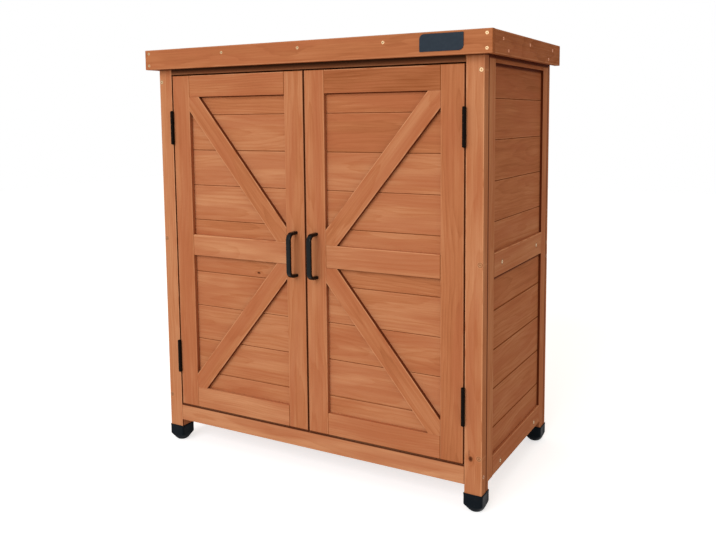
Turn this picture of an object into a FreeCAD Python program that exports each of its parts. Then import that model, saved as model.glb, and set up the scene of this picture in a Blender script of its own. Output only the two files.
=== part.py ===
import FreeCAD
import Part
import math
import os

# Wooden garden storage cabinet on four legs, with two framed and braced doors.
# Millimetres, +Z up, the doors face -Y. The origin is on the ground, in the middle
# of the overall box. Every piece of wood, metal and plastic is a solid of its own.

# Overall sizes
ROOF_WIDTH = 870.0
ROOF_DEPTH = 465.0
TOTAL_HEIGHT = 965.0
SIDE_OVERHANG = 23.0
FRONT_OVERHANG = 21.0
BODY_CLEARANCE = 57.0

# Posts and feet
POST_SIZE = 38.0
FRONT_POST_STRIP = 25.0
REAR_POST_STRIP = 14.0
WOOD_EASE = 1.5
CUT_MARGIN = 5.0
FOOT_RIM_HEIGHT = 40.0
FOOT_SKIRT_HEIGHT = 28.5
FOOT_WALL = 2.0
FOOT_SOCKET_DEPTH = 22.0
FOOT_SOCKET_FIT = 0.2
FOOT_CORNER_RADIUS = 3.0
FOOT_PAD_TOP_RADIUS = 20.0
FOOT_PAD_BOTTOM_RADIUS = 15.0
FOOT_PAD_EDGE_RADIUS = 3.0

# Front rails
RAIL_HEIGHT = 39.0
RAIL_THICKNESS = 20.0

# Side panels
SIDE_FRAME_THICKNESS = 6.0
SIDE_STILE_WIDTH = 38.0
SIDE_MIDDLE_RAIL_HEIGHT = 51.0
SIDE_BOTTOM_RAIL_HEIGHT = 44.0
SIDE_BOARDS_TOP_SET = 25.0
SIDE_BOARDS_BOTTOM_SET = 14.0

# Tongued boards
BOARD_THICKNESS = 9.0
BOARD_PITCH = 83.0
BOARD_JOINT_GAP = 0.6
BOARD_BEVEL = 1.0
TONGUE_LENGTH = 5.0
TONGUE_FIT = 0.25
NARROWEST_BOARD = 12.0

# Back panel
BACK_RAIL_HEIGHT = 44.0
BACK_RAIL_THICKNESS = 14.0
BACK_MIDDLE_RAIL_CENTRE = 479.0

# Floor and shelf
FLOOR_THICKNESS = 12.0
SHELF_THICKNESS = 12.0
SHELF_SETBACK = 60.0
SHELF_SLOT = 8.0
BEARER_WIDTH = 20.0
BEARER_HEIGHT = 24.0
BEARER_CLEARANCE = 0.5
LOOSE_BOARD_CLEARANCE = 1.0

# Roof
FASCIA_HEIGHT = 46.0
FASCIA_THICKNESS = 13.0
ROOF_BOARD_THICKNESS = 15.0
ROOF_SHEET_THICKNESS = 1.0
ROOF_SHEET_MARGIN = 1.0
ROOF_LIP = 4.0
ROOF_BATTEN_HEIGHT = 22.0
PLATE_WIDTH = 92.0
PLATE_HEIGHT = 34.0
PLATE_THICKNESS = 1.5
PLATE_FROM_RIGHT = 57.5
PLATE_FROM_TOP = 4.0
PLATE_ROUND_CORNER = 10.0
PLATE_TIGHT_CORNER = 1.5

# Doors
DOOR_GAP = 3.0
DOOR_FRAME_THICKNESS = 10.0
DOOR_STILE_WIDTH = 50.0
DOOR_RAIL_HEIGHT = 50.0
BRACE_WIDTH = 43.0
DOOR_TOP_BOARD = 92.0
DOOR_BOTTOM_BOARD = 88.0

# Handles
HANDLE_CENTRES = 96.0
HANDLE_PROJECTION = 32.0
HANDLE_WIDTH = 11.0
HANDLE_STRAP = 7.0
HANDLE_SPLAY = 1.2
HANDLE_BEND_RADIUS = 10.0
HANDLE_EDGE_RADIUS = 2.2
HANDLE_SCREW_RADIUS = 2.0
HANDLE_SCREW_GRIP = 7.0
HANDLE_SCREW_HEAD_RADIUS = 4.0
HANDLE_SCREW_HEAD_HEIGHT = 2.4

# Butt hinges
HINGE_HEIGHT = 78.0
HINGE_INSET = 122.0
HINGE_LEAF_THICKNESS = 1.2
HINGE_LEAF_DEPTH = 16.0
HINGE_LEAF_SLOT = 0.4
HINGE_BARREL_RADIUS = 4.0
HINGE_BARREL_STANDOFF = 0.5
HINGE_KNUCKLES = 5
HINGE_KNUCKLE_GAP = 0.3
HINGE_PIN_RADIUS = 1.5
HINGE_PIN_FIT = 0.06
HINGE_PIN_CAP_RADIUS = 2.6
HINGE_PIN_CAP_HEIGHT = 1.0
HINGE_SCREW_PITCH = 26.0

# Magnetic catches
CATCH_WIDTH = 40.0
CATCH_DEPTH = 14.0
CATCH_ABOVE_DOOR = 20.0
CATCH_BELOW_DOOR = 21.0
CATCH_AIR_GAP = 0.4
STRIKE_WIDTH = 32.0
STRIKE_HEIGHT = 16.0
STRIKE_THICKNESS = 1.4
STRIKE_FROM_DOOR_TOP = 3.0

# Screws: head radius, shank radius and length
LONG_SCREW = (4.2, 1.75, 60.0)
SIDE_SCREW = (3.8, 1.75, 30.0)
FASCIA_SCREW = (3.2, 1.4, 28.0)
HINGE_SCREW = (2.8, 1.3, 18.0)
SCREW_RECESS_WIDTH = 1.0
SCREW_RECESS_REACH = 1.8
SCREW_RECESS_DEPTH = 1.2
POST_SCREW_EDGE = 6.5
POST_SCREW_TOP_SET = 55.0
POST_SCREW_MIDDLE_RAISE = 10.5
POST_SCREW_BOTTOM_SET = 60.0
SIDE_SCREW_FRONT_SET = 112.0
SIDE_SCREW_BACK_SET = 92.0
BACK_RAIL_SCREW_PITCH = 34.0
FASCIA_END_SCREW_SET = 11.0
FASCIA_SCREW_PITCH = 205.0
FASCIA_SCREW_TOP_SET = 15.0
FASCIA_CORNER_SCREW_TOP_SET = 8.5
FASCIA_LOW_SCREW_RAISE = 9.5
SIDE_FASCIA_SCREW_SET = 62.0
SIDE_FASCIA_LOW_SCREW_SET = 93.0

# Directions
X = FreeCAD.Vector(1, 0, 0)
Y = FreeCAD.Vector(0, 1, 0)
Z = FreeCAD.Vector(0, 0, 1)
SIDES = (("left", -1), ("right", 1))
CLOSE = 0.001

# Places worked out from the sizes above
BODY_X = ROOF_WIDTH / 2 - SIDE_OVERHANG
POST_X = BODY_X - POST_SIZE
BODY_DEPTH = ROOF_DEPTH - FRONT_OVERHANG
FRONT_REACH = max(HANDLE_PROJECTION, FRONT_OVERHANG + PLATE_THICKNESS)
FRONT = FRONT_REACH - (FRONT_REACH + BODY_DEPTH + FOOT_WALL) / 2
BACK = FRONT + BODY_DEPTH
FASCIA_FRONT = FRONT - FRONT_OVERHANG
FASCIA_BACK = FASCIA_FRONT + FASCIA_THICKNESS
FASCIA_X = ROOF_WIDTH / 2 - FASCIA_THICKNESS
FASCIA_LOW = TOTAL_HEIGHT - FASCIA_HEIGHT
SHEET_TOP = TOTAL_HEIGHT - ROOF_LIP
ROOF_BOARD_TOP = SHEET_TOP - ROOF_SHEET_THICKNESS
BODY_TOP = ROOF_BOARD_TOP - ROOF_BOARD_THICKNESS
LEG_BOTTOM = FOOT_RIM_HEIGHT - FOOT_SOCKET_DEPTH
SILL = BODY_CLEARANCE + RAIL_HEIGHT
LINTEL = BODY_TOP - RAIL_HEIGHT
DOOR_LOW = SILL + DOOR_GAP
DOOR_HIGH = LINTEL - DOOR_GAP
DOOR_MIDDLE = (DOOR_LOW + DOOR_HIGH) / 2
DOOR_IN = DOOR_GAP / 2
DOOR_OUT = POST_X - DOOR_GAP
DOOR_THICKNESS = DOOR_FRAME_THICKNESS + BOARD_THICKNESS
DOOR_BACK = FRONT + DOOR_THICKNESS
PANEL_THICKNESS = SIDE_FRAME_THICKNESS + BOARD_THICKNESS
PANEL_X = BODY_X - PANEL_THICKNESS
PANEL_FRONT = FRONT + FRONT_POST_STRIP
PANEL_BACK = BACK - REAR_POST_STRIP
BACK_BOARD_FACE = BACK - BACK_RAIL_THICKNESS
BACK_INNER = BACK_BOARD_FACE - BOARD_THICKNESS
HINGE_X = POST_X - DOOR_GAP / 2
HINGE_Y = FRONT - HINGE_BARREL_RADIUS - HINGE_BARREL_STANDOFF
HANDLE_X = DOOR_IN + DOOR_STILE_WIDTH / 2
FLOOR_BOTTOM = SILL - FLOOR_THICKNESS
SHELF_BOTTOM = DOOR_MIDDLE + BEARER_HEIGHT / 2


def block(x, y, z):
    """Plain block between three pairs of limits."""
    corner = FreeCAD.Vector(x[0], y[0], z[0])
    return Part.makeBox(x[1] - x[0], y[1] - y[0], z[1] - z[0], corner)


def edges_along(shape, direction):
    """Straight edges of a shape that run along a direction."""
    found = []
    for edge in shape.Edges:
        span = edge.Vertexes[-1].Point - edge.Vertexes[0].Point
        if span.Length > 0 and span.cross(direction).Length < CLOSE * span.Length:
            found.append(edge)
    return found


def stick(x, y, z, grain):
    """Planed timber: a block with its four long edges eased."""
    body = block(x, y, z)
    thinnest = min(x[1] - x[0], y[1] - y[0], z[1] - z[0])
    ease = min(WOOD_EASE, thinnest / 4)
    return body.makeFillet(ease, edges_along(body, grain))


def rounded_face(corners, radii):
    """Flat face with straight sides and a tangent arc at each corner with a radius."""
    bends = []
    for i, (corner, radius) in enumerate(zip(corners, radii)):
        before = (corners[i - 1] - corner).normalize()
        after = (corners[(i + 1) % len(corners)] - corner).normalize()
        half_angle = before.getAngle(after) / 2
        setback = radius / math.tan(half_angle)
        inward = (before + after).normalize()
        crown = corner + inward * (radius / math.sin(half_angle) - radius)
        bends.append((corner + before * setback, crown, corner + after * setback))
    edges = []
    for i, (start, crown, end) in enumerate(bends):
        if radii[i] > 0:
            edges.append(Part.Arc(start, crown, end).toShape())
        next_start = bends[(i + 1) % len(bends)][0]
        edges.append(Part.LineSegment(end, next_start).toShape())
    return Part.Face(Part.Wire(edges))


def mirrored(shape):
    """The same piece on the other side of the cabinet."""
    return shape.mirror(FreeCAD.Vector(0, 0, 0), X)


def handed(shape, side):
    """A piece drawn for the right side, moved to the side asked for."""
    return shape if side > 0 else mirrored(shape)


def place(shape, origin, along, across):
    """Move a shape drawn along X and up Z to lie along and across two directions."""
    inward = across.cross(along)
    matrix = FreeCAD.Matrix(
        along.x, inward.x, across.x, origin.x,
        along.y, inward.y, across.y, origin.y,
        along.z, inward.z, across.z, origin.z,
        0, 0, 0, 1)
    moved = shape.copy()
    moved.Placement = FreeCAD.Placement(matrix)
    return moved


def board(length, low, high, thickness, grooved, tongued):
    """One board with a groove below, a tongue above and bevelled face edges."""
    bottom = low + (BOARD_JOINT_GAP / 2 if grooved else 0)
    top = high - (BOARD_JOINT_GAP / 2 if tongued else 0)
    bottom_bevel = BOARD_BEVEL if grooved else 0
    top_bevel = BOARD_BEVEL if tongued else 0
    near = thickness / 3
    far = 2 * thickness / 3
    outline = [(0, bottom + bottom_bevel), (0, top - top_bevel)]
    if tongued:
        tip = top + TONGUE_LENGTH
        outline += [(top_bevel, top), (near, top), (near, tip), (far, tip), (far, top)]
    outline += [(thickness, top), (thickness, bottom)]
    if grooved:
        root = bottom + TONGUE_LENGTH
        outline += [(far + TONGUE_FIT, bottom), (far + TONGUE_FIT, root)]
        outline += [(near - TONGUE_FIT, root), (near - TONGUE_FIT, bottom), (bottom_bevel, bottom)]
    points = [FreeCAD.Vector(0, depth, height) for depth, height in outline]
    face = Part.Face(Part.makePolygon(points + points[:1]))
    return face.extrude(FreeCAD.Vector(length, 0, 0))


def board_field(length, joints, thickness):
    """Boards from the first joint height to the last, each tongued into the next."""
    last = len(joints) - 2
    return [
        board(length, joints[i], joints[i + 1], thickness, i > 0, i < last)
        for i in range(last + 1)]


def even_joints(low, high):
    """Board joints that share a width evenly, close to the usual board width."""
    count = max(1, round((high - low) / BOARD_PITCH))
    return [low + (high - low) * i / count for i in range(count + 1)]


def joints_from_both_ends(low, high, first_low, first_high, middle):
    """Full boards from each end, with the cut board hidden behind the middle rail."""
    rising = [low + first_low]
    while rising[-1] + BOARD_PITCH < middle:
        rising.append(rising[-1] + BOARD_PITCH)
    falling = [high - first_high]
    while falling[-1] - BOARD_PITCH > middle:
        falling.append(falling[-1] - BOARD_PITCH)
    left_over = falling[-1] - rising[-1]
    if left_over > BOARD_PITCH:
        rising.append(middle)
    elif left_over < NARROWEST_BOARD:
        rising.pop()
    return [low] + rising + falling[::-1] + [high]


def screw_hole(point, direction, size):
    """The room a countersunk screw takes, from its head's face to its tip."""
    head_radius, shank_radius, length = size
    head_height = head_radius - shank_radius
    tip_height = 2 * shank_radius
    tip_start = point + direction * (length - tip_height)
    head = Part.makeCone(head_radius, shank_radius, head_height, point, direction)
    shank = Part.makeCylinder(shank_radius, length - tip_height, point, direction)
    tip = Part.makeCone(shank_radius, 0, tip_height, tip_start, direction)
    return head.fuse([shank, tip]).removeSplitter()


def screw(point, direction, size):
    """Countersunk screw with a cross recess."""
    long_way = (-SCREW_RECESS_REACH, SCREW_RECESS_REACH)
    short_way = (-SCREW_RECESS_WIDTH / 2, SCREW_RECESS_WIDTH / 2)
    depth = (-SCREW_RECESS_DEPTH, SCREW_RECESS_DEPTH)
    cross = block(long_way, short_way, depth).fuse(block(short_way, long_way, depth))
    turn = FreeCAD.Rotation(Z, direction)
    cross.Placement = FreeCAD.Placement(point, turn)
    return screw_hole(point, direction, size).cut(cross)


def drilled(shapes, places, size):
    """Shapes with the holes for a list of (point, direction) screws."""
    holes = Part.makeCompound([screw_hole(point, direction, size) for point, direction in places])
    single = not isinstance(shapes, list)
    result = [shape.cut(holes) for shape in ([shapes] if single else shapes)]
    return result[0] if single else result


def screws(places, size):
    return [screw(point, direction, size) for point, direction in places]


def front_post_screws(side):
    """Screws through the post's front face into the edge of the side panel."""
    x = side * (BODY_X - POST_SCREW_EDGE)
    heights = (
        BODY_TOP - POST_SCREW_TOP_SET,
        DOOR_MIDDLE + POST_SCREW_MIDDLE_RAISE,
        BODY_CLEARANCE + POST_SCREW_BOTTOM_SET)
    return [(FreeCAD.Vector(x, FRONT, z), Y) for z in heights]


def rail_end_screws(side):
    """Screws through the front post's side face into the ends of the front rails."""
    heights = (BODY_CLEARANCE + RAIL_HEIGHT / 2, BODY_TOP - RAIL_HEIGHT / 2)
    y = FRONT + RAIL_THICKNESS / 2
    return [(FreeCAD.Vector(side * BODY_X, y, z), X * -side) for z in heights]


def back_rail_centres():
    top = BODY_TOP - BACK_RAIL_HEIGHT / 2
    bottom = BODY_CLEARANCE + BACK_RAIL_HEIGHT / 2
    return (bottom, BACK_MIDDLE_RAIL_CENTRE, top)


def back_rail_end_screws(side):
    """Two screws through the rear post into each end of the middle back rail."""
    y = BACK - BACK_RAIL_THICKNESS / 2
    half = BACK_RAIL_SCREW_PITCH / 2
    heights = (BACK_MIDDLE_RAIL_CENTRE - half, BACK_MIDDLE_RAIL_CENTRE + half)
    return [(FreeCAD.Vector(side * BODY_X, y, z), X * -side) for z in heights]


def bearer_screws(side):
    """Screws through the side panel's rails into the floor and shelf bearers."""
    heights = (FLOOR_BOTTOM - BEARER_HEIGHT / 2, DOOR_MIDDLE)
    depths = (FRONT + SIDE_SCREW_FRONT_SET, BACK - SIDE_SCREW_BACK_SET)
    return [
        (FreeCAD.Vector(side * BODY_X, y, z), X * -side)
        for z in heights for y in depths]


def front_fascia_screws():
    """A pair at each corner into the side fascias, and three into the roof boards."""
    corner_x = ROOF_WIDTH / 2 - FASCIA_END_SCREW_SET
    corner_heights = (TOTAL_HEIGHT - FASCIA_CORNER_SCREW_TOP_SET, FASCIA_LOW + FASCIA_LOW_SCREW_RAISE)
    places = [
        (FreeCAD.Vector(side * corner_x, FASCIA_FRONT, z), Y)
        for name, side in SIDES for z in corner_heights]
    z = TOTAL_HEIGHT - FASCIA_SCREW_TOP_SET
    for step in (-1, 0, 1):
        places.append((FreeCAD.Vector(step * FASCIA_SCREW_PITCH, FASCIA_FRONT, z), Y))
    return places


def side_fascia_screws(side):
    """Three screws into the roof boards and two lower ones into the body."""
    x = side * ROOF_WIDTH / 2
    high = TOTAL_HEIGHT - FASCIA_SCREW_TOP_SET
    low = FASCIA_LOW + FASCIA_LOW_SCREW_RAISE
    first = FASCIA_FRONT + SIDE_FASCIA_SCREW_SET
    last = BACK - SIDE_FASCIA_SCREW_SET
    places = [(FreeCAD.Vector(x, y, high), X * -side) for y in (first, (first + last) / 2, last)]
    first_low = FASCIA_FRONT + SIDE_FASCIA_LOW_SCREW_SET
    last_low = BACK - SIDE_FASCIA_LOW_SCREW_SET
    places += [(FreeCAD.Vector(x, y, low), X * -side) for y in (first_low, last_low)]
    return places


def hinge_heights():
    return (DOOR_LOW + HINGE_INSET, DOOR_HIGH - HINGE_INSET)


def hinge_screw_places(side, face_x, direction):
    """Three screws for each hinge leaf, from the leaf's face into the wood."""
    y = FRONT + HINGE_LEAF_DEPTH / 2
    return [
        (FreeCAD.Vector(side * face_x, y, z + step * HINGE_SCREW_PITCH), direction)
        for z in hinge_heights() for step in (-1, 0, 1)]


def post_leaf_screws(side):
    return hinge_screw_places(side, POST_X - HINGE_LEAF_THICKNESS, X * side)


def door_leaf_screws(side):
    return hinge_screw_places(side, DOOR_OUT + HINGE_LEAF_THICKNESS, X * -side)


def panel_rebate(depth):
    """What a post loses to let the side panel in, above the panel's lower edge."""
    return block((PANEL_X, BODY_X + CUT_MARGIN), depth, (BODY_CLEARANCE, BODY_TOP + CUT_MARGIN))


def front_post(side):
    """Square front post, rebated at its outer back corner for the side panel."""
    post = stick((POST_X, BODY_X), (FRONT, FRONT + POST_SIZE), (LEG_BOTTOM, BODY_TOP), Z)
    rebate = panel_rebate((PANEL_FRONT, FRONT + POST_SIZE + CUT_MARGIN))
    post = handed(post.cut(rebate), side)
    post = drilled(post, front_post_screws(side) + rail_end_screws(side), LONG_SCREW)
    return drilled(post, post_leaf_screws(side), HINGE_SCREW)


def rear_post(side):
    """Square rear post, rebated at its outer front corner for the side panel."""
    post = stick((POST_X, BODY_X), (BACK - POST_SIZE, BACK), (LEG_BOTTOM, BODY_TOP), Z)
    rebate = panel_rebate((BACK - POST_SIZE - CUT_MARGIN, PANEL_BACK))
    post = handed(post.cut(rebate), side)
    return drilled(post, back_rail_end_screws(side), LONG_SCREW)


def foot_cap(x, y):
    """Moulded cap: a square socket for the leg, standing on a round rocker pad."""
    half = POST_SIZE / 2 + FOOT_WALL
    skirt_low = FOOT_RIM_HEIGHT - FOOT_SKIRT_HEIGHT
    skirt = block((x - half, x + half), (y - half, y + half), (skirt_low, FOOT_RIM_HEIGHT))
    skirt = skirt.makeFillet(FOOT_CORNER_RADIUS, edges_along(skirt, Z))
    pad = Part.makeCone(
        FOOT_PAD_BOTTOM_RADIUS, FOOT_PAD_TOP_RADIUS, skirt_low, FreeCAD.Vector(x, y, 0), Z)
    ground_edges = [edge for edge in pad.Edges if edge.BoundBox.ZMax < skirt_low / 2]
    pad = pad.makeFillet(FOOT_PAD_EDGE_RADIUS, ground_edges)
    socket_half = POST_SIZE / 2 + FOOT_SOCKET_FIT
    socket = block(
        (x - socket_half, x + socket_half), (y - socket_half, y + socket_half),
        (LEG_BOTTOM, FOOT_RIM_HEIGHT + CUT_MARGIN))
    return skirt.fuse(pad).cut(socket)


def foot_caps():
    rows = (FRONT + POST_SIZE / 2, BACK - POST_SIZE / 2)
    return [foot_cap(side * (BODY_X - POST_SIZE / 2), y) for name, side in SIDES for y in rows]


def front_rail(low):
    """Rail between the front posts, flush with their faces."""
    rail = stick((-POST_X, POST_X), (FRONT, FRONT + RAIL_THICKNESS), (low, low + RAIL_HEIGHT), X)
    return drilled(rail, rail_end_screws(-1) + rail_end_screws(1), LONG_SCREW)


def side_stiles(side):
    """Front and rear stile of a side panel, planted on the boards."""
    x = (BODY_X - SIDE_FRAME_THICKNESS, BODY_X)
    z = (BODY_CLEARANCE, BODY_TOP)
    front_stile = stick(x, (PANEL_FRONT, PANEL_FRONT + SIDE_STILE_WIDTH), z, Z)
    rear_stile = stick(x, (PANEL_BACK - SIDE_STILE_WIDTH, PANEL_BACK), z, Z)
    pair = [handed(front_stile, side), handed(rear_stile, side)]
    return drilled(pair, front_post_screws(side), LONG_SCREW)


def side_rail(side, low, high):
    """Rail of a side panel, between its stiles."""
    x = (BODY_X - SIDE_FRAME_THICKNESS, BODY_X)
    y = (PANEL_FRONT + SIDE_STILE_WIDTH, PANEL_BACK - SIDE_STILE_WIDTH)
    rail = handed(stick(x, y, (low, high), Y), side)
    rail = drilled(rail, bearer_screws(side), SIDE_SCREW)
    return drilled(rail, side_fascia_screws(side), FASCIA_SCREW)


def side_boards(side):
    """Horizontal boards of a side panel, behind its stiles and rails."""
    joints = joints_from_both_ends(
        BODY_CLEARANCE + SIDE_BOARDS_BOTTOM_SET, BODY_TOP - SIDE_BOARDS_TOP_SET,
        BOARD_PITCH, BOARD_PITCH, DOOR_MIDDLE)
    length = PANEL_BACK - PANEL_FRONT
    start = PANEL_FRONT if side > 0 else PANEL_BACK
    origin = FreeCAD.Vector(side * (BODY_X - SIDE_FRAME_THICKNESS), start, 0)
    boards = [
        place(piece, origin, Y * side, Z)
        for piece in board_field(length, joints, BOARD_THICKNESS)]
    boards = drilled(boards, front_post_screws(side), LONG_SCREW)
    return drilled(boards, bearer_screws(side), SIDE_SCREW)


def back_rails():
    """Three rails between the rear posts, outside the back boards."""
    rails = [
        stick(
            (-POST_X, POST_X), (BACK_BOARD_FACE, BACK),
            (centre - BACK_RAIL_HEIGHT / 2, centre + BACK_RAIL_HEIGHT / 2), X)
        for centre in back_rail_centres()]
    return drilled(rails, back_rail_end_screws(-1) + back_rail_end_screws(1), LONG_SCREW)


def back_boards():
    """Horizontal boards between the rear posts, inside the back rails."""
    origin = FreeCAD.Vector(POST_X, BACK_BOARD_FACE, 0)
    joints = even_joints(BODY_CLEARANCE, BODY_TOP)
    boards = board_field(2 * POST_X, joints, BOARD_THICKNESS)
    return [place(piece, origin, X * -1, Z) for piece in boards]


def post_notches(clearance):
    """Room for the four posts, cut out of the floor and shelf boards."""
    x = (POST_X - clearance, BODY_X)
    front = block(x, (FRONT, FRONT + POST_SIZE + clearance), (LEG_BOTTOM, TOTAL_HEIGHT))
    rear = block(x, (BACK - POST_SIZE - clearance, BACK), (LEG_BOTTOM, TOTAL_HEIGHT))
    return Part.makeCompound([front, rear, mirrored(front), mirrored(rear)])


def flat_boards(front, back, top, thickness):
    """Boards lying from side to side of the cabinet, notched round the posts."""
    half = PANEL_X - LOOSE_BOARD_CLEARANCE
    origin = FreeCAD.Vector(-half, 0, top)
    notches = post_notches(LOOSE_BOARD_CLEARANCE)
    boards = board_field(2 * half, even_joints(front, back), thickness)
    return [place(piece, origin, X, Y).cut(notches) for piece in boards]


def floor_boards():
    return flat_boards(
        FRONT + RAIL_THICKNESS, BACK_INNER - LOOSE_BOARD_CLEARANCE, SILL, FLOOR_THICKNESS)


def shelf_boards():
    """Open slats from side to side, resting on the two shelf bearers."""
    half = PANEL_X - LOOSE_BOARD_CLEARANCE
    front = FRONT + SHELF_SETBACK
    back = BACK_INNER - LOOSE_BOARD_CLEARANCE
    joints = even_joints(front, back)
    notches = post_notches(LOOSE_BOARD_CLEARANCE)
    height = (SHELF_BOTTOM, SHELF_BOTTOM + SHELF_THICKNESS)
    slats = []
    for near, far in zip(joints, joints[1:]):
        last = far == joints[-1]
        depth = (near, far if last else far - SHELF_SLOT)
        slats.append(stick((-half, half), depth, height, X).cut(notches))
    return slats


def side_bearer(side, low):
    """Bearer along the inside of a side panel, between the posts."""
    x = (PANEL_X - BEARER_WIDTH, PANEL_X)
    y = (FRONT + POST_SIZE + BEARER_CLEARANCE, BACK - POST_SIZE - BEARER_CLEARANCE)
    bearer = handed(stick(x, y, (low, low + BEARER_HEIGHT), Y), side)
    return drilled(bearer, bearer_screws(side), SIDE_SCREW)


def floor_bearers():
    """Two bearers along the sides and one down the middle."""
    low = FLOOR_BOTTOM - BEARER_HEIGHT
    half = BEARER_WIDTH / 2
    middle = stick((-half, half), (FRONT + RAIL_THICKNESS, BACK_INNER), (low, FLOOR_BOTTOM), Y)
    return [side_bearer(side, low) for name, side in SIDES] + [middle]


def shelf_bearers():
    return [side_bearer(side, SHELF_BOTTOM - BEARER_HEIGHT) for name, side in SIDES]


def roof_boards():
    """Boards from front to back, framed by the fascias."""
    length = BACK - FASCIA_BACK
    origin = FreeCAD.Vector(0, BACK, ROOF_BOARD_TOP)
    boards = board_field(length, even_joints(-FASCIA_X, FASCIA_X), ROOF_BOARD_THICKNESS)
    boards = [place(piece, origin, Y * -1, X) for piece in boards]
    places = front_fascia_screws() + side_fascia_screws(-1) + side_fascia_screws(1)
    return drilled(boards, places, FASCIA_SCREW)


def roof_battens():
    """Battens that fill the overhang between the body and the side fascias."""
    z = (BODY_TOP - ROOF_BATTEN_HEIGHT, BODY_TOP)
    battens = []
    for name, side in SIDES:
        batten = handed(stick((BODY_X, FASCIA_X), (FRONT, BACK), z, Y), side)
        battens.append(drilled(batten, side_fascia_screws(side), FASCIA_SCREW))
    return battens


def roof_sheet():
    """Metal cover lying on the roof boards, just inside the fascias."""
    half = FASCIA_X - ROOF_SHEET_MARGIN
    y = (FASCIA_BACK + ROOF_SHEET_MARGIN, BACK)
    return block((-half, half), y, (ROOF_BOARD_TOP, SHEET_TOP))


def front_fascia():
    """Front fascia, covering the ends of the side fascias."""
    half = ROOF_WIDTH / 2
    fascia = stick((-half, half), (FASCIA_FRONT, FASCIA_BACK), (FASCIA_LOW, TOTAL_HEIGHT), X)
    return drilled(fascia, front_fascia_screws(), FASCIA_SCREW)


def side_fascias():
    pair = []
    for name, side in SIDES:
        x = (FASCIA_X, ROOF_WIDTH / 2)
        fascia = handed(stick(x, (FASCIA_BACK, BACK), (FASCIA_LOW, TOTAL_HEIGHT), Y), side)
        pair.append(drilled(fascia, front_fascia_screws() + side_fascia_screws(side), FASCIA_SCREW))
    return pair


def badge_plate():
    """Blank plate on the front fascia with two opposite corners well rounded."""
    right = ROOF_WIDTH / 2 - PLATE_FROM_RIGHT
    top = TOTAL_HEIGHT - PLATE_FROM_TOP
    left = right - PLATE_WIDTH
    low = top - PLATE_HEIGHT
    corners = [
        FreeCAD.Vector(x, FASCIA_FRONT, z)
        for x, z in ((left, low), (right, low), (right, top), (left, top))]
    radii = [PLATE_TIGHT_CORNER, PLATE_ROUND_CORNER, PLATE_TIGHT_CORNER, PLATE_ROUND_CORNER]
    return rounded_face(corners, radii).extrude(Y * -PLATE_THICKNESS)


def door_stile(side, inner):
    """Upright of a door's frame, on the front of its boards."""
    x = (inner, inner + DOOR_STILE_WIDTH)
    stile = stick(x, (FRONT, FRONT + DOOR_FRAME_THICKNESS), (DOOR_LOW, DOOR_HIGH), Z)
    stile = drilled(handed(stile, side), door_leaf_screws(side), HINGE_SCREW)
    return handle_bored(stile, side)


def door_opening_x():
    """Left and right limits between a right door's stiles."""
    return (DOOR_IN + DOOR_STILE_WIDTH, DOOR_OUT - DOOR_STILE_WIDTH)


def door_rail(side, low):
    rail = stick(
        door_opening_x(), (FRONT, FRONT + DOOR_FRAME_THICKNESS),
        (low, low + DOOR_RAIL_HEIGHT), X)
    return handed(rail, side)


def door_end_rails(side):
    return [door_rail(side, DOOR_LOW), door_rail(side, DOOR_HIGH - DOOR_RAIL_HEIGHT)]


def door_middle_rail(side):
    return door_rail(side, DOOR_MIDDLE - DOOR_RAIL_HEIGHT / 2)


def brace(side, meeting, far):
    """Diagonal from the middle rail at the inner stile to the far corner outside."""
    inner, outer = door_opening_x()
    start = FreeCAD.Vector(inner, 0, meeting)
    end = FreeCAD.Vector(outer, 0, far)
    run = end - start
    angle = math.degrees(math.atan2(run.z, run.x))
    half = BRACE_WIDTH / 2
    bar = stick(
        (-BRACE_WIDTH, run.Length + BRACE_WIDTH), (0, DOOR_FRAME_THICKNESS), (-half, half), X)
    turn = FreeCAD.Rotation(Y, -angle)
    bar.Placement = FreeCAD.Placement(FreeCAD.Vector(inner, FRONT, meeting), turn)
    low, high = min(meeting, far), max(meeting, far)
    opening = block((inner, outer), (FRONT, FRONT + DOOR_FRAME_THICKNESS), (low, high))
    return handed(bar.common(opening), side)


def door_braces(side):
    half = DOOR_RAIL_HEIGHT / 2
    upper = brace(side, DOOR_MIDDLE + half, DOOR_HIGH - DOOR_RAIL_HEIGHT)
    lower = brace(side, DOOR_MIDDLE - half, DOOR_LOW + DOOR_RAIL_HEIGHT)
    return [lower, upper]


def door_boards(side):
    """Horizontal boards behind the door's frame, over its whole area."""
    joints = joints_from_both_ends(
        DOOR_LOW, DOOR_HIGH, DOOR_BOTTOM_BOARD, DOOR_TOP_BOARD, DOOR_MIDDLE)
    start = DOOR_IN if side > 0 else -DOOR_OUT
    origin = FreeCAD.Vector(start, FRONT + DOOR_FRAME_THICKNESS, 0)
    boards = [
        place(piece, origin, X, Z)
        for piece in board_field(DOOR_OUT - DOOR_IN, joints, BOARD_THICKNESS)]
    boards = drilled(boards, door_leaf_screws(side), HINGE_SCREW)
    return [handle_bored(piece, side) for piece in boards]


def handle_face():
    """Side view of a handle: a flat strap bent twice, its ends splayed on the door."""
    outer = (HANDLE_CENTRES + HANDLE_STRAP) / 2 - HANDLE_SPLAY
    inner = outer - HANDLE_STRAP
    outer_radius = HANDLE_BEND_RADIUS + HANDLE_STRAP
    reach = -HANDLE_PROJECTION
    hollow = HANDLE_STRAP - HANDLE_PROJECTION
    outline = [
        (0, outer + HANDLE_SPLAY, 0), (reach, outer, outer_radius),
        (reach, -outer, outer_radius), (0, -outer - HANDLE_SPLAY, 0),
        (0, -inner - HANDLE_SPLAY, 0), (hollow, -inner, HANDLE_BEND_RADIUS),
        (hollow, inner, HANDLE_BEND_RADIUS), (0, inner + HANDLE_SPLAY, 0)]
    corners = [FreeCAD.Vector(0, y, z) for y, z, radius in outline]
    return rounded_face(corners, [radius for y, z, radius in outline])


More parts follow.
